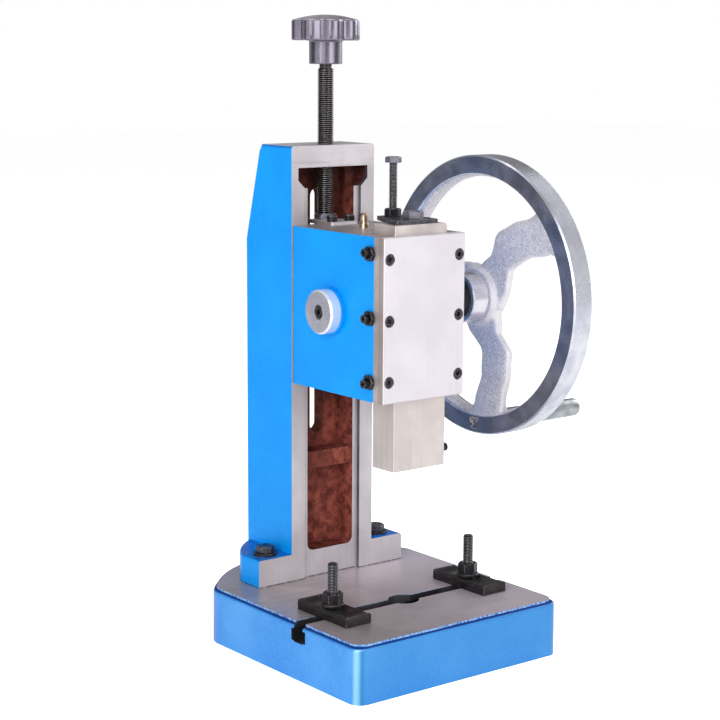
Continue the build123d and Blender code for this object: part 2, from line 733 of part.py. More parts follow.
# ================================================================ tool clamp screw
tool_screw_tip = ram_x + tool_bore / 2 + 0.5
tool_screw_key = 4.0
with BuildPart() as tool_screw:
    with BuildSketch(Plane.YZ.offset(tool_screw_tip)):
        with Locations((tool_screw_y, tool_screw_height)):
            Circle(tool_screw_diameter / 2 - 0.04)
    extrude(amount=tool_screw_end - tool_screw_tip)
    chamfer(tool_screw.faces().sort_by(Axis.X)[-1].edges(), 0.6)
    with BuildSketch(Plane.YZ.offset(tool_screw_end)):
        with Locations((tool_screw_y, tool_screw_height)):
            hexagon(tool_screw_key)
    extrude(amount=-tool_screw_key, mode=Mode.SUBTRACT)
save(tool_screw, "tool_screw")


# ================================================================ pinion shaft
def involute(angle):
    """The involute function of a pressure angle in radians."""
    return math.tan(angle) - angle


def flank_point(radius, side):
    """A point of the tooth flank at this radius, for a tooth pointing along +X of the sketch."""
    base_radius_ = pitch_radius * math.cos(math.radians(pressure_angle))
    local = math.acos(min(1.0, base_radius_ / radius))
    half_angle = (math.pi / (2 * pinion_teeth) - backlash / (4 * pitch_radius)
                  + involute(math.radians(pressure_angle)) - involute(local))
    return radius * math.cos(half_angle), side * radius * math.sin(half_angle)


end_tap = 8.0                # tapped holes in both ends of the shaft
left_tap_depth = 18.0
right_tap_depth = 24.0
key_width = 6.0
key_length = 24.0
key_middle = hub_left + 20.0
key_seat = pinion_z + wheel_seat / 2 - 3.5
tip_radius = pitch_radius + gear_module
root_radius = pitch_radius - 1.25 * gear_module
base_circle = pitch_radius * math.cos(math.radians(pressure_angle))
flank_radii = [base_circle + (tip_radius - base_circle) * step / 5 for step in range(6)]
with BuildSketch() as pinion_tooth:
    with BuildLine():
        lower = Spline(*[flank_point(radius, -1) for radius in flank_radii])
        upper = Spline(*[flank_point(radius, 1) for radius in flank_radii])
        ThreePointArc(lower @ 1, (tip_radius, 0), upper @ 1)
        Polyline(upper @ 0, (root_radius - 1, (upper @ 0).Y), (root_radius - 1, (lower @ 0).Y), lower @ 0)
    make_face()

with BuildPart() as pinion_shaft:
    with BuildSketch(Plane((pinion_left, pinion_y, pinion_z), x_dir=(0, 1, 0), z_dir=(1, 0, 0))):
        Circle(root_radius)
        # a gap between two teeth faces the rack, square to it
        with PolarLocations(0, pinion_teeth, start_angle=180 + 180 / pinion_teeth):
            add(pinion_tooth.sketch)
    extrude(amount=pinion_right - pinion_left)
    with BuildSketch(Plane.YZ.offset(left_disc_start)):
        with Locations((pinion_y, pinion_z)):
            Circle(journal / 2)
    extrude(amount=collar_end - left_disc_start)
    with BuildSketch(Plane.YZ.offset(collar_end)):
        with Locations((pinion_y, pinion_z)):
            Circle(wheel_seat / 2)
    extrude(amount=hub_length - 1.0)
    with BuildSketch(Plane.YZ.offset(left_disc_start)):
        with Locations((pinion_y, pinion_z)):
            Circle(end_tap / 2)
    extrude(amount=left_tap_depth, mode=Mode.SUBTRACT)
    with BuildSketch(Plane.YZ.offset(hub_right)):
        with Locations((pinion_y, pinion_z)):
            Circle(end_tap / 2)
    extrude(amount=-right_tap_depth, mode=Mode.SUBTRACT)
    with BuildSketch(Plane.XY.offset(key_seat)):
        with Locations((key_middle, pinion_y)):
            Rectangle(key_length, key_width)
    extrude(amount=6.0, mode=Mode.SUBTRACT)
save(pinion_shaft, "pinion_shaft")

cap_screw_sink = 7.0
cap_screw_head = 13.0
cap_screw_key = 6.0
with BuildPart() as cap_disc:
    with BuildSketch(Plane.YZ.offset(left_disc_end)):
        with Locations((pinion_y, pinion_z)):
            Circle(cap_diameter / 2)
    extrude(amount=left_disc_start - left_disc_end)
    chamfer(cap_disc.faces().sort_by(Axis.X)[0].edges(), 1.6)
    with BuildSketch(Plane.YZ.offset(left_disc_end)):
        with Locations((pinion_y, pinion_z)):
            Circle(cap_screw_head / 2 + 0.7)
    extrude(amount=cap_screw_sink, mode=Mode.SUBTRACT)
    with BuildSketch(Plane.YZ.offset(left_disc_end)):
        with Locations((pinion_y, pinion_z)):
            Circle(end_tap / 2 + 0.3)
    extrude(amount=left_disc_start - left_disc_end, mode=Mode.SUBTRACT)
save(cap_disc, "cap_disc")

cap_screw_seat = left_disc_end + cap_screw_sink
with BuildPart() as cap_screw:
    with BuildSketch(Plane.YZ.offset(cap_screw_seat)):
        with Locations((pinion_y, pinion_z)):
            Circle(cap_screw_head / 2)
    extrude(amount=0.4 - cap_screw_sink)
    chamfer(cap_screw.faces().sort_by(Axis.X)[0].edges(), 0.7)
    with BuildSketch(Plane.YZ.offset(cap_screw_seat)):
        with Locations((pinion_y, pinion_z)):
            Circle(end_tap / 2 - 0.03)
    extrude(amount=left_tap_depth + 2)
    with BuildSketch(Plane.YZ.offset(left_disc_end)):
        with Locations((pinion_y, pinion_z)):
            hexagon(cap_screw_key)
    extrude(amount=0.75 * cap_screw_key, mode=Mode.SUBTRACT)
save(cap_screw, "cap_screw")

with BuildPart() as shaft_collar:
    with BuildSketch(Plane.YZ.offset(boss_end + 0.3)):
        with Locations((pinion_y, pinion_z)):
            Circle(cap_diameter / 2)
            Circle(journal / 2 + 0.02, mode=Mode.SUBTRACT)
    extrude(amount=collar_end - boss_end - 0.3)
    chamfer(shaft_collar.faces().sort_by(Axis.X)[0].edges(), 0.8)
save(shaft_collar, "shaft_collar")

with BuildPart() as wheel_key:
    with BuildSketch(Plane.XY.offset(key_seat + 0.02)):
        with Locations((key_middle, pinion_y)):
            Rectangle(key_length - 0.1, key_width - 0.04)
    extrude(amount=5.9)
save(wheel_key, "wheel_key")

# ================================================================ handwheel
spindle = 10.0
rim_inner = wheel_diameter / 2 - rim_radial
hub_bore = wheel_seat / 2 + 0.02
hub_boss_diameter = 61.0     # where the spokes meet the hub
hub_boss_start = hub_left + 20.0
hub_boss_length = 20.0
spoke_count = 3
spoke_start_angle = 28.0
spoke_left = rim_left + 3.0
spoke_thickness = 11.0
# each spoke bends sideways in the wheel's plane: radius, sideways shift and half width
spoke_path = [(18.0, 0.0, 25.0), (32.0, 4.0, 23.0), (56.0, 21.0, 20.5), (78.0, 20.0, 20.0), (104.0, 12.0, 21.5),
              (rim_inner + 4, 6.0, 26.0)]
with BuildSketch() as spoke:
    with BuildLine():
        leading = Spline(*[(radius, -shift - half) for radius, shift, half in spoke_path])
        trailing = Spline(*[(radius, half - shift) for radius, shift, half in spoke_path])
        Line(leading @ 0, trailing @ 0)
        Line(leading @ 1, trailing @ 1)
    make_face()
with BuildPart() as handwheel:
    with BuildSketch(Plane.YZ.offset(rim_left)):
        with Locations((pinion_y, pinion_z)):
            Circle(wheel_diameter / 2)
            Circle(rim_inner, mode=Mode.SUBTRACT)
    extrude(amount=rim_width)
    chamfer(handwheel.edges().filter_by(GeomType.CIRCLE).filter_by(
        lambda e: abs(e.radius - wheel_diameter / 2) < 0.01), 1.5)
    with BuildSketch(Plane.YZ.offset(hub_left)):
        with Locations((pinion_y, pinion_z)):
            Circle(hub_diameter / 2)
    extrude(amount=hub_length)
    with BuildSketch(Plane.YZ.offset(hub_boss_start)):
        with Locations((pinion_y, pinion_z)):
            Circle(hub_boss_diameter / 2)
    extrude(amount=hub_boss_length)
    with BuildSketch(Plane.YZ.offset(spoke_left)):
        with Locations((pinion_y, pinion_z)):
            with PolarLocations(0, spoke_count, start_angle=spoke_start_angle):
                add(spoke.sketch)
    extrude(amount=spoke_thickness)
    with BuildSketch(Plane.YZ.offset(hub_left)):
        with Locations((pinion_y, pinion_z)):
            Circle(hub_bore)
    extrude(amount=hub_length + 10, mode=Mode.SUBTRACT)
    with BuildSketch(Plane.XY.offset(pinion_z)):
        with Locations((hub_left + hub_length / 2, pinion_y)):
            Rectangle(hub_length, key_width + 0.04)
    extrude(amount=wheel_seat / 2 + 2.6, mode=Mode.SUBTRACT)
    with BuildSketch(Plane.YZ.offset(rim_left)):
        with Locations((pinion_y, pinion_z - handle_radius)):
            Circle(spindle / 2)
    extrude(amount=rim_width, mode=Mode.SUBTRACT)
save(handwheel, "handwheel")

wheel_washer_diameter = 30.0
wheel_washer_thickness = 3.0
wheel_screw_seat = hub_right + wheel_washer_thickness + 0.02
with BuildPart() as wheel_washer:
    with BuildSketch(Plane.YZ.offset(hub_right + 0.02)):
        with Locations((pinion_y, pinion_z)):
            Circle(wheel_washer_diameter / 2)
            Circle(end_tap / 2 + 0.3, mode=Mode.SUBTRACT)
    extrude(amount=wheel_washer_thickness)
save(wheel_washer, "wheel_washer")

with BuildPart() as wheel_screw:
    with BuildSketch(Plane.YZ.offset(wheel_screw_seat)):
        with Locations((pinion_y, pinion_z)):
            hexagon(13.0)
    extrude(amount=5.5)
    chamfer(wheel_screw.faces().sort_by(Axis.X)[-1].edges(), 0.6)
    with BuildSketch(Plane.YZ.offset(wheel_screw_seat)):
        with Locations((pinion_y, pinion_z)):
            Circle(end_tap / 2 - 0.03)
    extrude(amount=-25.0)
save(wheel_screw, "wheel_screw")

# ================================================================ revolving handle on its spindle
handle_z = pinion_z - handle_radius
spindle_flange = 15.0
spindle_head = 13.6
spindle_head_length = 5.0
handle_cup = handle_end - 8.0    # floor of the pocket that hides the spindle's head
with BuildPart() as handle_spindle:
    with BuildSketch(Plane.XY.offset(handle_z)):
        polygon((rim_left + 4, pinion_y), (rim_left + 4, pinion_y + spindle / 2 - 0.02),
                (rim_right, pinion_y + spindle / 2 - 0.02), (rim_right, pinion_y + spindle_flange / 2),
                (rim_right + 2.5, pinion_y + spindle_flange / 2), (rim_right + 2.5, pinion_y + spindle / 2),
                (handle_cup, pinion_y + spindle / 2), (handle_cup, pinion_y + spindle_head / 2),
                (handle_cup + spindle_head_length, pinion_y + spindle_head / 2),
                (handle_cup + spindle_head_length, pinion_y))
    revolve(axis=Axis((0, pinion_y, handle_z), (1, 0, 0)))
save(handle_spindle, "handle_spindle")

with BuildPart() as handle:
    with BuildSketch(Plane.XY.offset(handle_z)):
        bore_edge = pinion_y + spindle / 2 + running_clearance
        cup_edge = pinion_y + spindle_head / 2 + 0.1
        polygon((rim_right + 2.8, bore_edge), (rim_right + 2.8, pinion_y + 10.4),
                (rim_right + 5.3, pinion_y + 11.0), (handle_end - 1.5, pinion_y + handle_diameter / 2),
                (handle_end, pinion_y + handle_diameter / 2 - 1.5), (handle_end, cup_edge),
                (handle_cup - 0.2, cup_edge), (handle_cup - 0.2, bore_edge))
    revolve(axis=Axis((0, pinion_y, handle_z), (1, 0, 0)))
save(handle, "handle")

# ================================================================ lead screw, knob and retaining nuts
nut_top = 417.0
nut_flats = 19.0
thread_top = 557.0
collar_low = head_top - 9.0
collar_diameter = 17.0
knob_hub_diameter = 32.0
neck_top = knob_lobe_low + 6.0
lobe_round = 7.5
knob_dome_radius = 18.0
knob_dome_height = 4.5
with BuildPart() as lead_screw:
    with BuildSketch(Plane.XY.offset(head_top + bracket_height + 0.05)):
        with Locations((0, screw_y)):
            Circle(screw_diameter / 2)
    extrude(amount=thread_top - head_top - bracket_height - 0.05)
    with BuildSketch(Plane.XY.offset(collar_low)):
        with Locations((0, screw_y)):
            Circle(screw_neck / 2)
    extrude(amount=neck_top - collar_low)
save(lead_screw, "lead_screw")

with BuildPart() as screw_nut:
    with BuildSketch(Plane.XY.offset(head_top + bracket_height + 0.05)):
        with Locations((0, screw_y)):
            hexagon(nut_flats)
            Circle(screw_diameter / 2 + 0.02, mode=Mode.SUBTRACT)
    extrude(amount=nut_top - head_top - bracket_height)
save(screw_nut, "screw_nut")

with BuildPart() as screw_collar:
    with BuildSketch(Plane.XY.offset(collar_low)):
        with Locations((0, screw_y)):
            Circle(collar_diameter / 2)
            Circle(screw_neck / 2 + 0.02, mode=Mode.SUBTRACT)
    extrude(amount=8.9)
save(screw_collar, "screw_collar")

with BuildPart() as knob:
    with BuildSketch(Plane.XY.offset(knob_low)):
        with Locations((0, screw_y)):
            Circle(knob_hub_diameter / 2)
    extrude(amount=knob_lobe_low - knob_low)
    lobe_radius = knob_diameter / 2
    with BuildSketch(Plane.XY.offset(knob_lobe_low)):
        with Locations((0, screw_y)):
            Circle(lobe_radius - 4.5)
            with PolarLocations(lobe_radius - lobe_round, knob_lobes):
                Circle(lobe_round)
    extrude(amount=knob_top - knob_dome_height - knob_lobe_low)
    fillet(knob.faces().filter_by(Axis.Z).sort_by(Axis.Z)[-1].edges(), 3.0)
    with BuildSketch(Plane.XY.offset(knob_top - knob_dome_height)):
        with Locations((0, screw_y)):
            Circle(knob_dome_radius)
    extrude(amount=knob_dome_height, taper=40)
    with BuildSketch(Plane.XY.offset(knob_low)):
        with Locations((0, screw_y)):
            Circle(screw_neck / 2 + 0.02)
    extrude(amount=neck_top + 0.1 - knob_low, mode=Mode.SUBTRACT)
save(knob, "knob")

# ================================================================ T-slot clamps, one each side
strap_top = table_top + strap_thickness
washer_top = strap_top + 2.6
clamp_gap = 0.1
tee_stud = 10.0
tee_head = slot_tee_width - 1.0
tee_head_height = 8.0
strap_hole = 10.8
tee_washer_diameter = 21.0
tee_nut_flats = 17.0
tee_nut_height = 10.2
for side, label in ((-1, "left"), (1, "right")):
    x = side * clamp_x
    with BuildPart() as tee_bolt:
        with BuildSketch(Plane.XY.offset(slot_tee_high - clamp_gap)):
            with Locations((x, 0)):
                Rectangle(tee_head, tee_head)
        extrude(amount=-tee_head_height)
        with BuildSketch(Plane.XY.offset(slot_tee_high - clamp_gap - 1)):
            with Locations((x, 0)):
                Circle(tee_stud / 2)
        extrude(amount=stud_top - slot_tee_high + clamp_gap + 1)
        chamfer(tee_bolt.faces().filter_by(Axis.Z).sort_by(Axis.Z)[-1].edges(), 0.8)
    save(tee_bolt, f"{label}_tee_bolt")

    with BuildPart() as strap:
        with BuildSketch(Plane.XY.offset(table_top + clamp_gap)):
            with Locations((x, (strap_front + strap_rear) / 2)):
                RectangleRounded(strap_width, strap_rear - strap_front, 2.0)
            with Locations((x, 0)):
                Circle(strap_hole / 2, mode=Mode.SUBTRACT)
        extrude(amount=strap_thickness - clamp_gap)
        chamfer(strap.faces().filter_by(Axis.Z).sort_by(Axis.Z)[-1].outer_wire().edges(), 1.0)
    save(strap, f"{label}_strap")

    with BuildPart() as washer:
        with BuildSketch(Plane.XY.offset(strap_top)):
            with Locations((x, 0)):
                Circle(tee_washer_diameter / 2)
                Circle(strap_hole / 2, mode=Mode.SUBTRACT)
        extrude(amount=washer_top - strap_top)
    save(washer, f"{label}_clamp_washer")

    with BuildPart() as nut:
        with BuildSketch(Plane.XY.offset(washer_top)):
            with Locations((x, 0)):
                hexagon(tee_nut_flats)
                Circle(tee_stud / 2 + 0.03, mode=Mode.SUBTRACT)
        extrude(amount=tee_nut_height)
        chamfer(nut.faces().filter_by(Axis.Z).sort_by(Axis.Z)[-1].outer_wire().edges(), 0.7)
    save(nut, f"{label}_clamp_nut")
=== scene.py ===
import json
import math

import bmesh
import bpy
from mathutils import Matrix, Vector, noise

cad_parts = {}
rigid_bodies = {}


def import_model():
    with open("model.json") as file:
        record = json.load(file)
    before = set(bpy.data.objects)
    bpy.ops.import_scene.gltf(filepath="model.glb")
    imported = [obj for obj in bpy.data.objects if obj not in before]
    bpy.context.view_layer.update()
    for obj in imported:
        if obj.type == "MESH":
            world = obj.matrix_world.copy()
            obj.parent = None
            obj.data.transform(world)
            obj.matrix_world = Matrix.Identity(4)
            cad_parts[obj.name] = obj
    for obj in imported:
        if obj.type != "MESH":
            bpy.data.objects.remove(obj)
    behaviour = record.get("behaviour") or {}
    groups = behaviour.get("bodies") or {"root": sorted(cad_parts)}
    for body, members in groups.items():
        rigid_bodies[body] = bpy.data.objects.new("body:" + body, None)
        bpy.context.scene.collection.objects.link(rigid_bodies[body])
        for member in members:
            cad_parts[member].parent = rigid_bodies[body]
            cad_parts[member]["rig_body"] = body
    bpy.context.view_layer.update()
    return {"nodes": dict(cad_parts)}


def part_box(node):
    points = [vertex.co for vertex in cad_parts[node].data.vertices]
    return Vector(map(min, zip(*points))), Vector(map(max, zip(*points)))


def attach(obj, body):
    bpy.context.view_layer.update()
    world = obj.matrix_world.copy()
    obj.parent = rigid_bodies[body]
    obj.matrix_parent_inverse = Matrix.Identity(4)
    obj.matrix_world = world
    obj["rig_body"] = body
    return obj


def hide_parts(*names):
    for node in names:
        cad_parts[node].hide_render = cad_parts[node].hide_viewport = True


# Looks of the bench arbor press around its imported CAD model. Metres in Blender, millimetres in this
# file's own sizes; +Z is up, -Y is the operator's side and +X is the handwheel's side.

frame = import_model()
nodes = frame["nodes"]
MM = 0.001


# ---- places read from the CAD
def box_mm(node):
    """Lowest and highest corners of a CAD node in millimetres."""
    low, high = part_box(node)
    return low / MM, high / MM


def middle(node):
    """Centre of a CAD node's box in millimetres."""
    low, high = box_mm(node)
    return (low + high) / 2


column_low, column_high = box_mm("column")
table_top = column_low.z
column_front = column_low.y
column_top = column_high.z
cover_low, cover_high = box_mm("cover_plate")    # as tall as the head, which starts at its back face
wheel_low, wheel_high = box_mm("handwheel")
axle = middle("handwheel")              # only its Y and Z are used: the wheel's axis runs along X


# ---- materials
def tint(red, green, blue):
    """A display colour, 0 to 255, as the linear colour that Blender works in."""
    linear = []
    for part in (red, green, blue):
        share = part / 255
        linear.append(share / 12.92 if share <= 0.04045 else ((share + 0.055) / 1.055) ** 2.4)
    return (*linear, 1.0)


class Look:
    """Colour, metal share, roughness, height in millimetres and gloss of one kind of surface."""

    def __init__(self, colour, metal=0.0, rough=0.5, height=0.0, gloss=0.5):
        self.colour, self.metal, self.rough, self.height, self.gloss = colour, metal, rough, height, gloss


class Wiring:
    """A node tree being wired: shorthand for its nodes and links."""

    def __init__(self, tree):
        self.tree = tree
        tree.nodes.clear()

    def add(self, kind, **settings):
        """A new shader node of some kind, with its settings."""
        node = self.tree.nodes.new("ShaderNode" + kind)
        for key, value in settings.items():
            setattr(node, key, value)
        return node

    def plug(self, socket, value):
        """Wire a socket from another node's output, or set it to a plain value."""
        if isinstance(value, bpy.types.NodeSocket):
            self.tree.links.new(value, socket)
        else:
            socket.default_value = value

    def feed(self, node, *values, **named):
        """Wire or set the node's first inputs in turn, and others by name."""
        for socket, value in zip(node.inputs, values):
            self.plug(socket, value)
        for name, value in named.items():
            self.plug(node.inputs[name.replace("_", " ")], value)
        return node

    def split(self, vector):
        return tuple(self.feed(self.add("SeparateXYZ"), vector).outputs)

    def vector_math(self, operation, first, second):
        return self.feed(self.add("VectorMath", operation=operation), first, second).outputs

    def calc(self, operation, first, second=0.0):
        return self.feed(self.add("Math", operation=operation), first, second).outputs[0]

    def times(self, *factors):
        result = factors[0]
        for factor in factors[1:]:
            result = self.calc("MULTIPLY", result, factor)
        return result

    def ramp(self, value, low, high, start=0.0, end=1.0):
        """value mapped smoothly from low..high to start..end, and held beyond them."""
        node = self.add("MapRange", interpolation_type="SMOOTHSTEP")
        return self.feed(node, value, low, high, start, end).outputs[0]

    def over(self, value, edge, soft=0.1):
        return self.ramp(value, edge - soft, edge + soft)

    def under(self, value, edge, soft=0.1):
        return self.ramp(value, edge - soft, edge + soft, 1.0, 0.0)

    def between(self, value, low, high, soft=0.1):
        return self.times(self.over(value, low, soft), self.under(value, high, soft))

    def within(self, value, half, soft=0.1):
        return self.under(self.calc("ABSOLUTE", value), half, soft)

    def opposite(self, mask):
        return self.calc("SUBTRACT", 1.0, mask)

    def either(self, *masks):
        result = masks[0]
        for mask in masks[1:]:
            result = self.calc("MAXIMUM", result, mask)
        return result

    def mix(self, factor, first, second, kind="RGBA"):
        node = self.add("Mix", data_type=kind)
        inputs = [socket for socket in node.inputs if socket.enabled]
        for socket, value in zip(inputs, (factor, first, second)):
            self.plug(socket, value)
        return next(socket for socket in node.outputs if socket.enabled)


class Surface(Wiring):
    """A node material being wired. Positions are millimetres in the piece's own frame."""

    def __init__(self, name):
        self.material = bpy.data.materials.new(name)
        self.material.use_nodes = True
        super().__init__(self.material.node_tree)
        coordinates = self.add("TexCoord")
        self.place = self.vector_math("MULTIPLY", coordinates.outputs["Object"], (1 / MM,) * 3)[0]
        self.x, self.y, self.z = self.split(self.place)
        self.facing_x, self.facing_y, self.facing_z = self.split(coordinates.outputs["Normal"])

    def noise(self, size, detail=4.0, stretch=(1, 1, 1), twist=0.0, seed=0.0):
        """Cloudy noise from 0 to 1 with features of about size millimetres, longer along stretch."""
        shape = tuple(1 / (size * part) for part in stretch)
        node = self.add("TexNoise", noise_dimensions="4D")
        spot = self.vector_math("MULTIPLY", self.place, shape)[0]
        self.feed(node, Vector=spot, W=seed, Scale=1.0, Detail=detail, Distortion=twist)
        return node.outputs["Fac"]

    def cells(self, size):
        """Distance, 0 to about 1, to the nearest of points scattered size millimetres apart."""
        node = self.add("TexVoronoi", feature="F1")
        spot = self.vector_math("MULTIPLY", self.place, (1 / size,) * 3)[0]
        return self.feed(node, Vector=spot, Scale=1.0).outputs["Distance"]

    def reach(self, across, along, centre):
        """Distance in millimetres from a centre in the plane of two coordinates."""
        first = self.calc("SUBTRACT", across, centre[0])
        second = self.calc("SUBTRACT", along, centre[1])
        squares = self.calc("ADD", self.times(first, first), self.times(second, second))
        return self.calc("SQRT", squares)

    def rings(self, distance, spacing):
        """Turning marks: waves from 0 to 1 along a distance."""
        wave = self.calc("SINE", self.times(distance, 2 * math.pi / spacing))
        return self.ramp(wave, -1.0, 1.0)

    def rounded(self, radius):
        """Normal of the surface as if its corners were rounded by some millimetres."""
        return self.feed(self.add("Bevel", samples=4), Radius=radius * MM).outputs[0]

    def edges(self, width):
        """1 near the piece's corners, 0 on its faces."""
        face = self.add("NewGeometry").outputs["Normal"]
        return self.ramp(self.vector_math("DOT_PRODUCT", self.rounded(width), face)["Value"], 0.995, 0.9)

    def layer(self, mask, under, over):
        """One look showing over another where the mask is 1."""
        parts = {}
        for part, value in vars(under).items():
            kind = "RGBA" if part == "colour" else "FLOAT"
            parts[part] = self.mix(mask, value, vars(over)[part], kind)
        return Look(**parts)

    def tint_where(self, look, mask, colour):
        """Tint a look's colour where the mask is 1: every use here paints light or shade."""
        look.colour = self.mix(mask, look.colour, colour)

    def finish(self, look, corner=0.35):
        """Wire the look to the output, its corners catching light as if rounded by some millimetres."""
        bump = self.feed(self.add("Bump"), Distance=MM, Height=look.height)
        if corner:
            self.feed(bump, Normal=self.rounded(corner))
        shader = self.feed(self.add("BsdfPrincipled"), Base_Color=look.colour,
                           Metallic=look.metal, Roughness=look.rough, Specular_IOR_Level=look.gloss,
                           Normal=bump.outputs[0])
        self.feed(self.add("OutputMaterial"), shader.outputs[0])
        return self.material


def gloss_paint(s, colour, deep, peel=1.0):
    """Sprayed enamel over cast iron: colour drift, orange peel and the casting's waves."""
    drift = s.ramp(s.noise(60, detail=2.0), 0.35, 0.7)
    colour = s.mix(drift, deep, colour)
    speckle = s.ramp(s.noise(1.1, detail=2.0, seed=3.0), 0.62, 0.75)
    colour = s.mix(s.times(speckle, 0.06), colour, tint(180, 225, 255))
    orange_peel = s.times(s.noise(2.2, detail=2.0, seed=1.0), 0.035 * peel)
    waves = s.times(s.noise(26, detail=1.5, seed=2.0), 0.12 * peel)
    rough = s.ramp(s.noise(18, detail=3.0, seed=4.0), 0.3, 0.7, 0.24, 0.36)
    return Look(colour, 0.0, rough, s.calc("ADD", orange_peel, waves), 0.14)


def machined(s, light, dark, stretch, rough=0.34, marks=0.012, metal=0.55, contrast=1.0):
    """Milled or ground iron: fine lines one way, faint patches of oil. Its colours are 0 to 255."""
    light, dark = tint(*light), tint(*dark)
    lines = s.noise(0.9, detail=3.0, stretch=stretch)
    coarse = s.noise(3.5, detail=2.0, stretch=stretch, seed=5.0)
    patches = s.ramp(s.noise(38, detail=3.0, seed=6.0), 0.35, 0.7)
    colour = s.mix(patches, dark, light)
    colour = s.mix(s.times(s.ramp(lines, 0.42, 0.68), 0.22 * contrast), colour, dark)
    colour = s.mix(s.times(s.ramp(coarse, 0.55, 0.75), 0.12 * contrast), colour, tint(120, 116, 118))
    spots = s.ramp(s.noise(2.4, detail=5.0, seed=7.0), 0.66, 0.78)
    colour = s.mix(s.times(spots, 0.25 * contrast), colour, tint(116, 106, 104))
    rough = s.ramp(coarse, 0.3, 0.7, rough, rough + 0.12)
    return Look(colour, metal, rough, s.times(lines, marks))


def red_oxide(s):
    """Sand-cast iron in matt red-oxide primer, dusty on its grains and dark in its pits."""
    grain = s.noise(1.6, detail=5.0, seed=8.0)
    lumps = s.noise(9, detail=4.0, seed=9.0)
    colour = s.mix(s.ramp(lumps, 0.32, 0.68), tint(92, 40, 34), tint(158, 82, 68))
    colour = s.mix(s.times(s.ramp(grain, 0.52, 0.72), 0.5), colour, tint(186, 112, 92))
    pits = s.ramp(s.noise(3.2, detail=3.0, seed=10.0), 0.60, 0.72)
    colour = s.mix(s.times(pits, 0.75), colour, tint(46, 18, 16))
    grime = s.ramp(s.noise(55, detail=3.0, seed=11.0), 0.40, 0.62)
    colour = s.mix(s.times(grime, 0.55), colour, tint(70, 34, 30))
    # Painted shade: darker towards the top of the column, under the bridge.
    shade = s.over(s.z, 430.0, 45.0)
    colour = s.mix(s.times(shade, 0.8), colour, tint(36, 14, 12))
    height = s.calc("ADD", s.times(grain, 0.55), s.times(lumps, 1.4))
    return Look(colour, 0.0, 0.82, height, 0.2)


def black_oxide(s, colour=tint(34, 33, 35), worn=tint(150, 148, 150), wear=0.7, rough=0.32):
    """Blackened steel: soft dark film, corners lightened by wear and a painted highlight, finely scratched.
    """
    film = s.ramp(s.noise(7, detail=4.0), 0.3, 0.7)
    shade = s.mix(film, colour, tint(58, 56, 60))
    # Wear and painted highlight together: corners patchily lightened towards the worn colour.
    rubbed_and_highlit = s.times(s.edges(0.7), s.ramp(s.noise(2.0, detail=4.0, seed=2.0), 0.30, 0.60), wear)
    shade = s.mix(rubbed_and_highlit, shade, worn)
    scratches = s.ramp(s.noise(0.8, detail=2.0, stretch=(5, 1, 1), seed=3.0), 0.66, 0.74)
    shade = s.mix(s.times(scratches, 0.35), shade, tint(92, 90, 92))
    return Look(shade, 0.8, s.ramp(film, 0.0, 1.0, rough, rough + 0.16), s.times(s.noise(1.0), 0.02))


def ground_table(s):
    """Grey-mauve ground table: faint lines along X, turned rings on its round rear end."""
    look = machined(s, (186, 175, 177), (162, 152, 154), (26, 1, 1), rough=0.30, metal=0.5, contrast=0.8)
    # Painted reflection: the table grows lighter towards +X.
    s.tint_where(look, s.ramp(s.x, -90.0, 110.0, 0.0, 0.75), tint(240, 226, 236))
    rear_radius, rear_start, ring_spacing = 130.0, 138.0, 2.6
    rear_centre = (0.0, column_high.y - rear_radius)
    ring_marks = s.rings(s.reach(s.x, s.y, rear_centre), ring_spacing)
    rear = s.over(s.y, rear_start, 12.0)
    pale = s.mix(ring_marks, tint(168, 164, 176), tint(196, 191, 204))
    rear_look = Look(pale, 0.6, 0.38, s.times(ring_marks, 0.02))
    return s.layer(rear, look, rear_look)


LAND_STEP = 2.8                         # the ground table stands this far above its painted rim
BLUE, BLUE_DEEP = tint(8, 156, 246), tint(4, 148, 240)
SIDE_BLUE, SIDE_BLUE_DEEP = tint(74, 160, 234), tint(52, 144, 226)


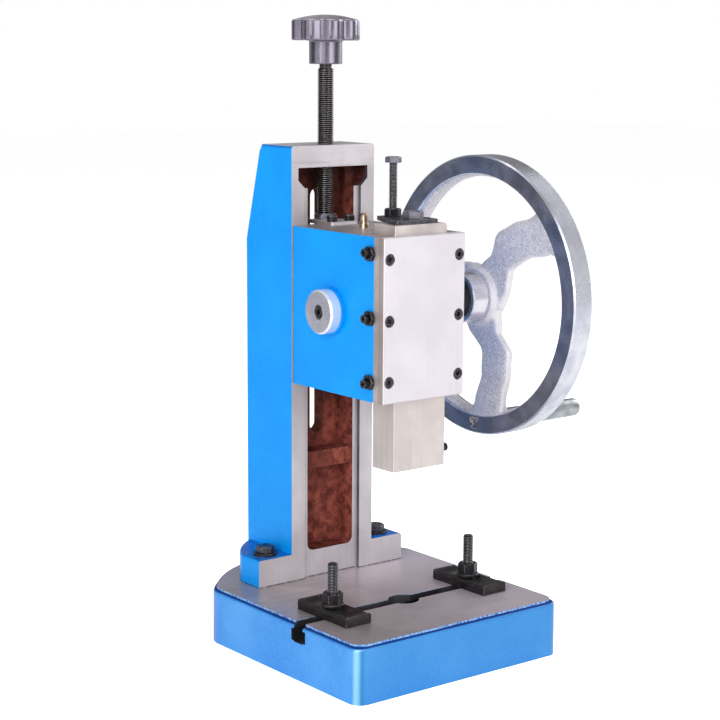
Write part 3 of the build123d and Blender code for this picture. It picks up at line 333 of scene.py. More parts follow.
def base_material():
    """Painted casting with a ground top, raw T-slot and a painted shade line in the crevice under the land.
    """
    s = Surface("base_paint_and_ground_iron")
    paint = gloss_paint(s, SIDE_BLUE, SIDE_BLUE_DEEP, peel=1.5)
    flakes = s.ramp(s.cells(1.4), 0.1, 0.6, 1.0, 0.0)
    height = s.calc("ADD", paint.height, s.times(flakes, 0.04))
    sides = Look(s.mix(s.times(flakes, 0.16), paint.colour, tint(170, 220, 255)), 0.25, 0.30, height, 0.4)
    leftward = s.under(s.facing_x, 0.0)
    # Painted highlight and reflections on the sides, by the way each face turns: a glare band near the
    # front-left corner, a teal reflection band beside it and a lilac reflection of the white backdrop on
    # faces turned to the rear.
    glare = s.between(s.facing_y, -0.72, -0.40, 0.12)
    teal_reflection_band = s.between(s.facing_y, -0.93, -0.80, 0.05)
    # Painted shade: faces turned to the front are darker.
    s.tint_where(sides, s.times(s.under(s.facing_y, -0.85, 0.1), 0.55), tint(44, 122, 186))
    s.tint_where(sides, s.times(glare, leftward, 0.55), tint(170, 225, 255))
    s.tint_where(sides, s.times(teal_reflection_band, leftward, 0.6), tint(30, 116, 150))
    s.tint_where(sides, s.times(s.over(s.facing_y, 0.15, 0.15), leftward, 0.45), tint(128, 136, 222))
    rim = table_top - LAND_STEP
    shelf = s.over(s.z, rim - 0.8, 0.5)
    look = s.layer(shelf, sides, gloss_paint(s, tint(30, 112, 206), tint(14, 78, 168)))
    # Painted shade: a dark line in the crevice where the land meets the painted rim.
    crevice_shade_line = s.times(s.between(s.z, rim - 0.4, rim + 0.7, 0.3), 0.8)
    look = s.layer(crevice_shade_line, look, Look(tint(10, 44, 104), 0.0, 0.6, 0.0, 0.2))
    land_side = s.times(s.over(s.z, rim + 1.0, 0.3), s.within(s.facing_z, 0.5))
    chips = s.ramp(s.noise(2.6, detail=4.0, seed=21.0), 0.40, 0.56)
    look = s.layer(s.times(land_side, chips), look, Look(tint(150, 190, 228), 0.3, 0.4))
    upward = s.over(s.facing_z, 0.9, 0.05)
    look = s.layer(s.times(upward, s.over(s.z, table_top - 0.4)), look, ground_table(s))
    slot_half, bore_centre, bore_radius, core_top = 11.0, (2.0, 0.0), 15.3, table_top - 24.0
    slot_inside = s.times(s.within(s.y, slot_half), s.under(s.z, table_top - 0.3, 0.15),
                          s.within(s.facing_x, 0.5))
    bore_inside = s.times(s.under(s.reach(s.x, s.y, bore_centre), bore_radius),
                          s.under(s.z, table_top - 0.3))
    dark_cut = machined(s, (84, 82, 86), (44, 44, 50), (14, 1, 1), rough=0.45)
    look = s.layer(s.either(slot_inside, bore_inside), look, dark_cut)
    underside = s.times(s.under(s.z, core_top), s.under(s.facing_z, -0.5, 0.1))
    milled = machined(s, (120, 118, 120), (84, 82, 84), (1, 1, 1), rough=0.6)
    return s.finish(s.layer(underside, look, milled), corner=0.5)


def column_material():
    """Blue outside, ground ways and bridge, red-oxide casting in the recess and the back."""
    s = Surface("column_paint_ways_and_casting")
    look = gloss_paint(s, BLUE, BLUE_DEEP)
    # Painted shade: a darker band along the top edge of the blue sides.
    s.tint_where(look, s.times(s.over(s.z, column_top - 2.2, 0.8), 0.55), tint(20, 84, 170))
    # Painted shade: the flange's top is darkened.
    flange_top = s.times(s.over(s.facing_z, 0.8, 0.1), s.under(s.z, table_top + 30.0, 0.5))
    s.tint_where(look, s.times(flange_top, 0.6), tint(26, 60, 150))
    way_back = column_front + 4.1
    bridge_low = column_top - 20.5
    channel_half, recess_half, rear_half = 42.4, 28.15, 38.1
    window_low, window_back = 440.0, way_back + 14.2
    rear_front, rear_back, rear_low = 152.9, 189.2, 82.4
    forward = s.under(s.facing_y, -0.9, 0.05)
    front_face = s.times(forward, s.under(s.y, way_back + 0.2))
    upright = machined(s, (204, 199, 203), (190, 185, 189), (1, 1, 30), rough=0.40, contrast=0.7)
    level = machined(s, (214, 208, 212), (196, 190, 194), (30, 1, 1), rough=0.36)
    tool_marks = s.ramp(s.noise(4, stretch=(12, 1, 1)), 0.45, 0.62)
    tool_marks = s.times(s.under(s.z, column_top - 15.0, 2.0), tool_marks, 0.4)
    level = s.layer(tool_marks, level, Look(tint(140, 132, 134), 0.6, 0.4))
    ground = s.layer(s.over(s.z, bridge_low - 0.5), upright, level)
    look = s.layer(front_face, look, ground)
    # Painted shade: the channel's side walls get a darker copy of the ground iron.
    shaded_channel_walls = s.times(s.within(s.x, channel_half), s.between(s.y, column_front - 1, way_back - 0.05),
                    s.opposite(forward), s.under(s.z, column_top - 0.5))
    look = s.layer(shaded_channel_walls, look, machined(s, (120, 116, 122), (84, 82, 88), (1, 1, 24), rough=0.4))
    recess = s.times(s.within(s.x, recess_half), s.over(s.y, way_back), s.under(s.z, bridge_low))
    window = s.times(s.within(s.x, channel_half - 0.1), s.between(s.y, way_back, window_back),
                     s.between(s.z, window_low, bridge_low))
    cast_inside = s.times(s.within(s.x, rear_half), s.between(s.y, rear_front, rear_back),
                          s.between(s.z, rear_low, column_top - 13))
    look = s.layer(s.either(recess, window, cast_inside), look, red_oxide(s))
    top_face = s.times(s.over(s.facing_z, 0.9, 0.05), s.over(s.z, column_top - 0.5))
    look = s.layer(top_face, look, level)
    patchy = s.ramp(s.noise(5, detail=4.0, seed=6.0), 0.32, 0.52)
    seam = s.times(s.under(s.z, table_top + 1.0, 0.6), patchy, 0.9)
    return s.finish(s.layer(seam, look, Look(tint(46, 38, 36), 0.0, 0.7)), corner=0.45)


def head_material():
    """Blue sides and bosses; the faces that were milled are bare."""
    s = Surface("head_paint_and_milled_faces")
    look = gloss_paint(s, BLUE, BLUE_DEEP, peel=0.8)
    level = s.over(s.calc("ABSOLUTE", s.facing_z), 0.9, 0.05)
    ends = s.either(s.over(s.z, cover_high.z - 0.4), s.under(s.z, cover_low.z + 0.4))
    milled = machined(s, (196, 188, 190), (160, 150, 152), (1, 24, 1), rough=0.34)
    look = s.layer(s.times(level, ends), look, milled)
    channel_half, strip_width = 48.2, 6.5
    inside = s.times(s.within(s.x, channel_half), s.within(s.facing_z, 0.8))
    look = s.layer(inside, look, machined(s, (168, 164, 168), (120, 116, 120), (1, 1, 20)))
    front_strip = s.times(s.under(s.y, cover_high.y + strip_width, 0.2), s.opposite(level))
    look = s.layer(front_strip, look, machined(s, (206, 198, 196), (168, 158, 156), (1, 1, 22)))
    return s.finish(look, corner=0.4)


def plate_material():
    """Ground cover plate: very light and even, with a soft vertical grain."""
    s = Surface("cover_plate_ground_steel")
    look = machined(s, (217, 211, 218), (209, 203, 210), (1, 1, 40), rough=0.45, marks=0.004,
                    metal=0.3, contrast=0.35)
    side = s.over(s.calc("ABSOLUTE", s.facing_x), 0.9, 0.05)
    look = s.layer(side, look, machined(s, (184, 170, 166), (160, 146, 142), (1, 1, 14)))
    edge = s.times(s.edges(0.6), 0.35)
    return s.finish(s.layer(edge, look, Look(tint(160, 152, 152), 0.8, 0.3)), corner=0.3)


def ram_material():
    """Ground ram: warm grey, brushed down its length, with mill marks at its top end."""
    s = Surface("ram_ground_steel")
    look = machined(s, (212, 203, 201), (196, 187, 184), (1, 1, 34), rough=0.36)
    end = s.over(s.z, cover_high.z - 12.0, 4.0)
    look = s.layer(end, look, machined(s, (222, 214, 210), (186, 176, 172), (22, 8, 1), marks=0.03))
    return s.finish(look, corner=0.5)


def steel_material(name, light, dark, stretch, rough=0.3, metal=0.9):
    """Turned or milled bare steel."""
    s = Surface(name)
    look = machined(s, light, dark, stretch, rough=rough, metal=metal)
    return s.finish(s.layer(s.times(s.edges(0.4), 0.4), look, Look(tint(225, 225, 230), 1.0, 0.25)))


def disc_material(light, dark):
    """Turned cap disc: fine lines on its face and a painted highlight on its round side."""
    s = Surface("cap_disc_turned_steel")
    look = machined(s, light, dark, (1, 2, 2), rough=0.24)
    # Painted highlight: the disc's round side is made light and less metallic.
    edge = s.within(s.facing_x, 0.85, 0.08)
    return s.finish(s.layer(edge, look, Look(tint(236, 236, 242), 0.35, 0.22)))


def black_material(name, **settings):
    s = Surface(name)
    return s.finish(black_oxide(s, **settings), corner=0.25)


def brass_material():
    s = Surface("oiler_turned_brass")
    tarnish = s.ramp(s.noise(3.0), 0.4, 0.65)
    colour = s.mix(tarnish, tint(232, 212, 188), tint(176, 148, 118))
    turning = s.rings(s.z, 0.7)
    return s.finish(Look(colour, 1.0, s.ramp(tarnish, 0.0, 1.0, 0.20, 0.36), s.times(turning, 0.02)))


def bronze_material():
    s = Surface("bush_and_gib_bronze")
    look = machined(s, (198, 150, 92), (150, 104, 58), (1, 1, 16), rough=0.32, metal=1.0)
    return s.finish(look)


def knob_material():
    """Moulded phenolic: glossy grey, painted sheen streaks down its sides, a painted highlight on top, flow
    marks and dust.
    """
    s = Surface("knob_moulded_phenolic")
    flow = s.ramp(s.noise(12, detail=4.0, twist=0.6), 0.35, 0.7)
    colour = s.mix(flow, tint(100, 93, 110), tint(128, 121, 138))
    dust = s.ramp(s.noise(0.8, detail=2.0, seed=5.0), 0.66, 0.74)
    colour = s.mix(s.times(dust, 0.25), colour, tint(150, 148, 156))
    height = s.times(s.noise(1.4, detail=3.0, seed=2.0), 0.008)
    # Painted reflection: light and dark sheen bands around the sides, set by the normal's direction.
    first_sheen_band, sheen_band_spacing = 0.563, math.pi / 4
    around = s.calc("ADD", s.calc("ARCTAN2", s.facing_y, s.facing_x), first_sheen_band)
    painted_sheen_bands = s.mix(s.rings(around, sheen_band_spacing), tint(56, 52, 64), tint(142, 136, 152))
    colour = s.mix(s.times(s.within(s.facing_z, 0.3), 0.85), colour, painted_sheen_bands)
    # Painted highlight: faces turned upwards are lighter.
    colour = s.mix(s.times(s.ramp(s.facing_z, 0.1, 0.8), 0.55), colour, tint(196, 190, 204))
    return s.finish(Look(colour, 0.45, s.ramp(flow, 0.0, 1.0, 0.20, 0.28), height, 1.0), corner=0.0)


def wheel_polish_material():
    """Polished, plated iron: bright rim and hub with faint rings, darker on the rim's left."""
    s = Surface("handwheel_polished_plating")
    boss_reach, rim_start, hole_radius = 60.0, 118.0, 6.6
    distance = s.reach(s.y, s.z, (axle.y, axle.z))
    drift = s.ramp(s.noise(22, detail=4.0), 0.32, 0.7)
    colour = s.mix(drift, tint(190, 193, 206), tint(222, 223, 230))
    fine = s.ramp(s.noise(2.0, detail=4.0, seed=3.0), 0.60, 0.72)
    colour = s.mix(s.times(fine, 0.30), colour, tint(132, 136, 152))
    inboard = s.times(s.under(s.facing_x, -0.9, 0.05), s.over(distance, rim_start, 1.0))
    colour = s.mix(s.times(inboard, 0.9), colour, s.mix(drift, tint(42, 42, 58), tint(88, 88, 104)))
    hole = s.under(s.reach(s.y, s.z, (axle.y, middle("handle").z)), hole_radius, 1.2)
    rust = s.times(hole, s.ramp(s.noise(1.8, detail=4.0, seed=9.0), 0.40, 0.6))
    colour = s.mix(s.times(s.under(distance, boss_reach, 1.0), 0.7), colour, tint(240, 236, 244))
    metal, rough = s.ramp(inboard, 0.0, 1.0, 0.7, 0.15), s.ramp(drift, 0.0, 1.0, 0.32, 0.22)
    look = Look(colour, metal, rough, s.times(s.rings(distance, 0.9), 0.004), 0.8)
    return s.finish(s.layer(rust, look, Look(tint(96, 58, 44), 0.1, 0.8)), corner=0.0)


def wheel_cast_material():
    """Plated sand casting: the plating follows every grain, bright on top; painted light on the spokes'
    flanks.
    """
    s = Surface("handwheel_plated_casting")
    grain = s.noise(1.5, detail=5.0)
    lumps = s.noise(7, detail=3.0, seed=1.0)
    colour = s.mix(s.ramp(grain, 0.36, 0.64), tint(190, 181, 184), tint(236, 229, 230))
    colour = s.mix(s.times(s.ramp(lumps, 0.45, 0.7), 0.4), colour, tint(186, 179, 182))
    distance = s.reach(s.y, s.z, (axle.y, axle.z))
    spoke_end = 116.0
    # Painted light: spoke flanks that do not face sideways or back are made near white.
    painted_light_flank = s.times(s.within(s.facing_x, 0.80, 0.15), s.under(s.facing_y, 0.3, 0.2), 0.7)
    colour = s.mix(s.times(painted_light_flank, s.under(distance, spoke_end, 4.0)), colour, tint(240, 237, 240))
    height = s.calc("ADD", s.times(grain, 0.40), s.times(lumps, 0.6))
    return s.finish(Look(colour, 0.15, s.ramp(grain, 0.3, 0.7, 0.46, 0.32), height, 0.9), corner=0.0)


def handle_material():
    s = Surface("handle_turned_steel")
    rings = s.rings(s.x, 0.8)
    drift = s.ramp(s.noise(15, detail=3.0), 0.35, 0.7)
    colour = s.mix(drift, tint(150, 158, 162), tint(196, 202, 206))
    return s.finish(Look(colour, 0.7, s.ramp(drift, 0.0, 1.0, 0.34, 0.26), s.times(rings, 0.008)))


def thread_material(name, crest, root, centre, radius, pitch):
    """Screw thread about a vertical axis: roots darkened by oil and painted shade, crests lightened by wear
    and a painted highlight.

    The sign of X is ignored, so that both clamp studs can share one material.
    """
    s = Surface(name)
    film = s.ramp(s.noise(5, detail=4.0), 0.3, 0.7)
    distance = s.reach(s.calc("ABSOLUTE", s.x), s.y, centre)
    # Painted shade in the roots and painted highlight on the crests, by distance from the axis.
    colour = s.mix(s.ramp(distance, radius - 0.45 * pitch, radius - 0.05 * pitch), root, crest)
    dirt = s.ramp(s.noise(2.2, detail=3.0, seed=4.0), 0.52, 0.68)
    colour = s.mix(s.times(dirt, 0.5), colour, root)
    neck = s.under(distance, radius - 0.9 * pitch, 0.1)
    colour = s.mix(s.times(neck, 0.6), colour, crest)
    return s.finish(Look(colour, 0.8, s.ramp(film, 0.0, 1.0, 0.24, 0.38), s.times(s.noise(0.8), 0.02)), 0.0)


bright, shaded = (196, 196, 208), (164, 164, 178)
materials = {
    "base": base_material(),
    "column": column_material(),
    "head": head_material(),
    "plate": plate_material(),
    "ram": ram_material(),
    "steel": steel_material("bare_ground_steel", (200, 198, 202), (160, 158, 162), (1, 1, 12)),
    "bolt": steel_material("bright_bolt_steel", (176, 174, 190), (130, 128, 142), (6, 1, 1), 0.28),
    "disc": disc_material(bright, shaded),
    "nut": steel_material("bright_nut_steel", bright, shaded, (1, 2, 2), 0.24),
    "black": black_material("black_oxide_steel", worn=tint(186, 184, 190), wear=0.95),
    "grey": black_material("worn_grey_oxide", colour=tint(96, 94, 102), worn=tint(200, 198, 204)),
    "strap": black_material("clamp_strap_black_oxide", colour=tint(46, 40, 40), rough=0.36, wear=0.9),
    "brass": brass_material(),
    "bronze": bronze_material(),
    "knob": knob_material(),
    "polish": wheel_polish_material(),
    "cast": wheel_cast_material(),
    "handle": handle_material(),
}
# Each thread: its CAD rod, crest and root colours, outer radius and pitch.
threads = {
    "lead_screw_thread": ("lead_screw", tint(132, 127, 127), tint(14, 13, 15), 8.0, 2.0),
    "clamp_stud_thread": ("right_tee_bolt", tint(136, 136, 138), tint(50, 50, 52), 5.0, 1.5),
    "stop_bolt_thread": ("stop_bolt", tint(150, 148, 154), tint(24, 24, 28), 4.0, 1.25),
}
for name, (rod, crest, root, radius, pitch) in threads.items():
    materials[name] = thread_material(name, crest, root, tuple(middle(rod))[:2], radius, pitch)


# ---- mesh building
def linked(name, data):
    """A new object in the scene."""
    obj = bpy.data.objects.new(name, data)
    bpy.context.scene.collection.objects.link(obj)
    return obj


def piece(mesh, finish, body, *replaced):
    """A visible piece named after its mesh: it rides on a body and may stand for CAD nodes."""
    obj = linked(mesh.name, mesh)
    mesh.materials.clear()
    mesh.materials.append(materials[finish])
    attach(obj, body)
    if replaced:
        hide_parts(*replaced)


def stitch(mesh, rings, closed=False):
    """Faces between rings of corners. Open ends are capped; a closed list joins up."""
    pairs = list(zip(rings, rings[1:]))
    if closed:
        pairs.append((rings[-1], rings[0]))
    for lower, upper in pairs:
        for step in range(len(lower)):
            after = (step + 1) % len(lower)
            mesh.faces.new((lower[step], lower[after], upper[after], upper[step]))
    if not closed:
        mesh.faces.new(list(reversed(rings[0])))
        mesh.faces.new(rings[-1])


def spin(rows, shape=None, columns=48, closed=False):
    """A mesh turned about its local Z. rows are (height, radius) in millimetres.

    shape(angle, height, radius) may change a radius. An open row list is capped at both ends;
    a closed one makes a ring.
    """
    mesh = bmesh.new()
    grid = []
    for height, radius in rows:
        ring = []
        for step in range(columns):
            angle = 2 * math.pi * step / columns
            reach = shape(angle, height, radius) if shape else radius
            ring.append(mesh.verts.new((reach * math.cos(angle), reach * math.sin(angle), height)))
        grid.append(ring)
    stitch(mesh, grid, closed)
    return mesh


def place(mesh, origin, axis="Z"):
    """Move a spun mesh to its origin, its Z along an axis, and scale it to metres."""
    turns = {"Z": Matrix.Identity(4),
             "X": Matrix.Rotation(math.pi / 2, 4, "Y"),
             "-X": Matrix.Rotation(-math.pi / 2, 4, "Y")}
    mesh.transform(Matrix.Scale(MM, 4) @ Matrix.Translation(Vector(origin)) @ turns[axis])
    return mesh


def to_mesh(name, *parts, smooth_angle=32.0):
    """One mesh from bmesh parts, smooth across gentle edges and sharp across the rest."""
    joined = bmesh.new()
    for part in parts:
        held = bpy.data.meshes.new("part")
        bmesh.ops.recalc_face_normals(part, faces=part.faces)
        part.to_mesh(held)
        part.free()
        joined.from_mesh(held)
        bpy.data.meshes.remove(held)
    for face in joined.faces:
        face.smooth = True
    for edge in joined.edges:
        edge.smooth = len(edge.link_faces) == 2 and edge.calc_face_angle(0.0) < math.radians(smooth_angle)
    mesh = bpy.data.meshes.new(name)
    joined.to_mesh(mesh)
    joined.free()
    return mesh


def turned(name, rows, origin, axis="Z", smooth_angle=32.0, **settings):
    """The finished mesh of one spun form."""
    return to_mesh(name, place(spin(rows, **settings), origin, axis), smooth_angle=smooth_angle)


def hexed(across_flats):
    """Shape that cuts a turned row down to a hexagon."""
    def shape(angle, height, radius):
        off_flat = (angle + math.pi / 6) % (math.pi / 3) - math.pi / 6
        return min(radius, across_flats / 2 / math.cos(off_flat))
    return shape


def hex_rows(height, across_flats, chamfer_bottom=True):
    """Rows of a nut or bolt head whose corners are cut by a 30 degree cone."""
    corner = across_flats / 2 / math.cos(math.pi / 6)
    face = across_flats / 2 * 0.97
    drop = (corner - face) * math.tan(math.pi / 6)
    shares = [step / 4 for step in range(5)]
    top = [(height - drop * (1 - share), corner + (face - corner) * share) for share in shares]
    if chamfer_bottom:
        return [(height - along, radius) for along, radius in reversed(top)] + top
    return [(0.0, corner)] + top


def hex_head(height, across_flats, origin, chamfer_bottom=False):
    """A bolt's hexagon head standing on its origin."""
    rows = hex_rows(height, across_flats, chamfer_bottom)
    return place(spin(rows, hexed(across_flats)), origin)


def nut(height, across_flats, bore):
    """A hexagon nut standing on z 0, with a countersunk hole."""
    rows = hex_rows(height, across_flats)
    sink = 0.7
    inner = [(height, bore + sink), (height - sink, bore), (sink, bore), (0.0, bore + sink)]
    return spin(rows + inner, hexed(across_flats), columns=48, closed=True)


def washer(height, outer, bore):
    """A flat washer standing on z 0 with rubbed corners."""
    ease = 0.35
    rows = [(0.0, outer - ease), (ease, outer), (height - ease, outer), (height, outer - ease),
            (height, bore + ease), (height - ease, bore), (ease, bore), (0.0, bore + ease)]
    return spin(rows, columns=64, closed=True)


def thread(length, radius, pitch, columns=32, lead_in=1.2):
    """A right-hand screw thread from z 0 up to length, with a chamfer at both ends."""
    depth = 0.6 * pitch
    per_turn = 8
    count = int(length / pitch * per_turn)
    heights = [length * step / count for step in range(count + 1)]

    def shape(angle, height, reach):
        phase = (height / pitch - angle / (2 * math.pi)) % 1.0
        ridge = min(1.0, max(0.0, 1.5 - abs(phase - 0.5) * 4.0))
        end = min(height, length - height)
        limit = radius - max(0.0, lead_in - end)
        return min(radius - depth * (1 - ridge), limit)

    return spin([(height, radius) for height in heights], shape, columns=columns)


def slab(points, low, high, ease=0.6, segments=2):
    """A plate from an outline in X and Y between two heights, its corners eased all round."""
    mesh = bmesh.new()
    face = mesh.faces.new([mesh.verts.new((x, y, low)) for x, y in points])
    grown = bmesh.ops.extrude_face_region(mesh, geom=[face])
    bmesh.ops.translate(mesh, vec=(0, 0, high - low),
                        verts=[v for v in grown["geom"] if isinstance(v, bmesh.types.BMVert)])
    bmesh.ops.recalc_face_normals(mesh, faces=mesh.faces)
    bmesh.ops.bevel(mesh, geom=mesh.edges[:], offset=ease, segments=segments, affect="EDGES", profile=0.6)
    return mesh


# ---- lead screw, knob and their nut
def build_lead_screw():
    """M16 x 2 screw with plain journals into the knob and through the head's bracket."""
    low, high = box_mm("lead_screw")
    centre = middle("lead_screw")
    thread_low = box_mm("screw_nut")[0].z
    thread_high = box_mm("knob")[0].z - 4.0
    radius, pitch, journal = 8.0, 2.0, 6.0
    top = thread(thread_high - thread_low, radius, pitch, columns=40)
    top = place(top, (centre.x, centre.y, thread_low))
    eased = journal - 0.5
    core_rows = [(low.z, eased), (low.z + 0.5, journal), (high.z - 0.5, journal), (high.z, eased)]
    core = place(spin(core_rows), (centre.x, centre.y, 0))
    mesh = to_mesh("lead_screw_thread", top, core, smooth_angle=50.0)
    piece(mesh, "lead_screw_thread", "screw", "lead_screw")


def build_knob():
    """Eight-lobed star knob: rounded lobes, shallow valleys and a low domed top."""
    low, high = box_mm("knob")
    centre = middle("knob")
    lobes, hub, outer = 8, 16.0, (high.x - low.x) / 2
    hub_height, crown_height, valley_depth = 22.5, 5.0, 5.2
    underside = low.z + hub_height
    shoulder = high.z - crown_height
    rows = [(low.z, hub - 0.8), (low.z + 0.8, hub), (low.z + 1.4, hub), (low.z + 2.2, hub)]
    rows += [(underside - drop, hub) for drop in (2.6, 1.9, 1.2)] + [(underside - 0.3, hub + 0.9)]
    rows += [(underside, radius) for radius in (hub + 3, hub + 7, hub + 11)]
    rows += [(underside, outer - 1.4), (underside + 0.5, outer - 0.4), (underside + 1.6, outer)]
    rows += [(underside + 1.6 + (shoulder - underside - 3.4) * step / 4, outer) for step in range(1, 5)]
    for step in range(1, 7):
        turn = math.pi / 2 * step / 6
        rows.append((shoulder - 1.8 + 2.4 * math.sin(turn), outer - 3.2 * (1 - math.cos(turn))))
    dome_radius = rows[-1][1]
    dome_low = rows[-1][0]
    for step in range(1, 11):
        share = 1 - step / 10.5
        rows.append((dome_low + (high.z - dome_low) * (1 - share**2), dome_radius * share))

    def shape(angle, height, radius):
        if radius < hub + 2.0:
            return radius
        wave = math.cos(lobes * (angle + math.pi / 8))
        valley = (0.5 - 0.5 * wave) ** 1.6
        reach = (radius - hub - 2.0) / (outer - hub - 2.0)
        return radius - valley_depth * valley * reach

    mesh = turned("star_knob", rows, (centre.x, centre.y, 0), smooth_angle=60.0, shape=shape, columns=128)
    piece(mesh, "knob", "screw", "knob")


def build_nut(name, node, across_flats, bore, finish="black"):
    """A chamfered hexagon nut in the place of a CAD nut."""
    low, high = box_mm(node)
    centre = middle(node)
    mesh = to_mesh(name, place(nut(high.z - low.z, across_flats, bore), (centre.x, centre.y, low.z)))
    piece(mesh, finish, nodes[node]["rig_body"], node)


# ---- T-slot clamps
STUD_RADIUS, STUD_PITCH = 5.0, 1.5
CLAMP_HOLE = 5.4                        # radius of the hole for the stud
SLOT_LIP = 6.6                          # from the table's face down to the T head


def build_clamp(side):
    """Stud with its T head, strap with eased corners and lipped ends, washer and nut."""
    tee_low, tee_high = box_mm(f"{side}_tee_bolt")
    centre = middle(f"{side}_tee_bolt")
    half_tee = (tee_high.x - tee_low.x) / 2
    tee_top = table_top - SLOT_LIP
    x = centre.x
    left, right = x - half_tee, x + half_tee
    corners = [(left, -half_tee), (right, -half_tee), (right, half_tee), (left, half_tee)]
    head = slab(corners, tee_low.z, tee_top, ease=0.8)
    head.transform(Matrix.Scale(MM, 4))
    stud_low = tee_top - 2.0
    stud = place(thread(tee_high.z - stud_low, STUD_RADIUS, STUD_PITCH), (x, 0, stud_low))
    mesh = to_mesh(f"{side}_clamp_stud", head, stud, smooth_angle=50.0)
    piece(mesh, "clamp_stud_thread", f"{side}_bolt", f"{side}_tee_bolt")

    low, high = box_mm(f"{side}_strap")
    mesh = strap_mesh(f"{side}_clamp_strap", low, high)
    piece(mesh, "strap", f"{side}_strap", f"{side}_strap")

    low, high = box_mm(f"{side}_clamp_washer")
    ring = place(washer(high.z - low.z, (high.x - low.x) / 2, CLAMP_HOLE), (x, 0, low.z))
    piece(to_mesh(f"{side}_stud_washer", ring), "strap", f"{side}_nut", f"{side}_clamp_washer")
    build_nut(f"{side}_stud_nut", f"{side}_clamp_nut", 17.0, 5.03)


def strap_mesh(name, low, high):
    """Flat bar with a round hole, chamfered long edges and a raised lip across both ends."""
    lip_height, lip_depth, bevel, ease = 0.9, 3.2, 1.3, 0.6
    flat = high.z - lip_height
    half = (high.x - low.x) / 2
    centre_x = (low.x + high.x) / 2
    section = [(-half, low.z), (half, low.z), (half, flat - bevel), (half - bevel, flat),
               (-half + bevel, flat), (-half, flat - bevel)]
    near_end = [(0.0, True, 0.0), (ease, False, lip_height), (lip_depth - 0.8, False, lip_height),
                (lip_depth, False, 0.0)]
    stations = [(low.y + along, eased, lift) for along, eased, lift in near_end]
    stations += [(high.y - along, eased, lift) for along, eased, lift in reversed(near_end)]
    mesh = bmesh.new()
    rings = []
    for y, eased, lift in stations:
        ring = []
        for x, z in section:
            raised = z + lift if z > flat - bevel - 0.01 else z
            if eased:
                x -= math.copysign(ease, x)
                raised += ease if z < flat - bevel else -0.2
            ring.append(mesh.verts.new((centre_x + x, y, raised)))
        rings.append(ring)
    stitch(mesh, rings)
    bmesh.ops.recalc_face_normals(mesh, faces=mesh.faces)
    mesh.transform(Matrix.Scale(MM, 4))
    drill = turned("drill", [(low.z - 5, CLAMP_HOLE), (high.z + 5, CLAMP_HOLE)], (centre_x, 0, 0))
    return cut(to_mesh(name, mesh), drill)


def cut(mesh, tool):
    """The mesh with the tool's volume taken away, under the same name."""
    name = mesh.name
    target, cutter = linked("target", mesh), linked("cutter", tool)
    step = target.modifiers.new("cut", "BOOLEAN")
    step.operation, step.object, step.solver = "DIFFERENCE", cutter, "EXACT"
    result = baked(target)
    for obj, data in ((target, mesh), (cutter, tool)):
        bpy.data.objects.remove(obj)
        bpy.data.meshes.remove(data)
    result.name = name
    return result


def baked(obj):
    """The object's mesh with its modifiers applied."""
    bpy.context.view_layer.update()
    evaluated = obj.evaluated_get(bpy.context.evaluated_depsgraph_get())
    return bpy.data.meshes.new_from_object(evaluated)


# ---- depth stop
def build_stop_bolt():
    """Hexagon head bolt threaded to its head; it stands in its lock nut on the ram's plate."""
    low, high = box_mm("stop_bolt")
    centre = middle("stop_bolt")
    head_height, across_flats, radius, pitch = 5.5, 13.5, 4.0, 1.25
    seat = high.z - head_height
    shank = place(thread(seat - low.z + 0.3, radius, pitch), (centre.x, centre.y, low.z))
    cap = hex_head(head_height, across_flats, (centre.x, centre.y, seat))
    mesh = to_mesh("stop_bolt_shank", shank, smooth_angle=50.0)
    piece(mesh, "stop_bolt_thread", "stop_bolt", "stop_bolt")
    piece(to_mesh("stop_bolt_head", cap), "bolt", "stop_bolt")
    build_nut("stop_bolt_lock_nut", "stop_lock_nut", 14.0, 4.05)


def build_plate_bolt():
    """Low hexagon head bolt that holds the stop plate to the ram."""
    low, high = box_mm("stop_plate_bolt")
    centre = middle("stop_plate_bolt")
    seat = box_mm("stop_plate")[1].z
    across_flats, radius = 17.0, 4.97
    cap = hex_head(high.z - seat, across_flats, (centre.x, centre.y, seat))
    shank = place(spin([(low.z, 4.5), (low.z + 0.6, radius), (seat, radius)]), (centre.x, centre.y, 0))
    piece(to_mesh("plate_bolt", cap, shank), "bolt", "ram", "stop_plate_bolt")


# ---- handwheel
RIM_WIDTH = 24.0
RIM_RADIAL = 18.5
wheel_radius = (wheel_high.z - wheel_low.z) / 2
rim_left = wheel_high.x - RIM_WIDTH
rim_inner = wheel_radius - RIM_RADIAL
hub_left = wheel_low.x
spoke_angles = [math.radians(angle) for angle in (148.0, 268.0, 28.0)]


def smooth_between(keys, at):
    """Value between (place, value) keys, with level ends to each stretch."""
    for (low, first), (high, second) in zip(keys, keys[1:]):
        if at <= high:
            share = max(0.0, (at - low) / (high - low))
            return first + (second - first) * (share * share * (3 - 2 * share))
    return keys[-1][1]


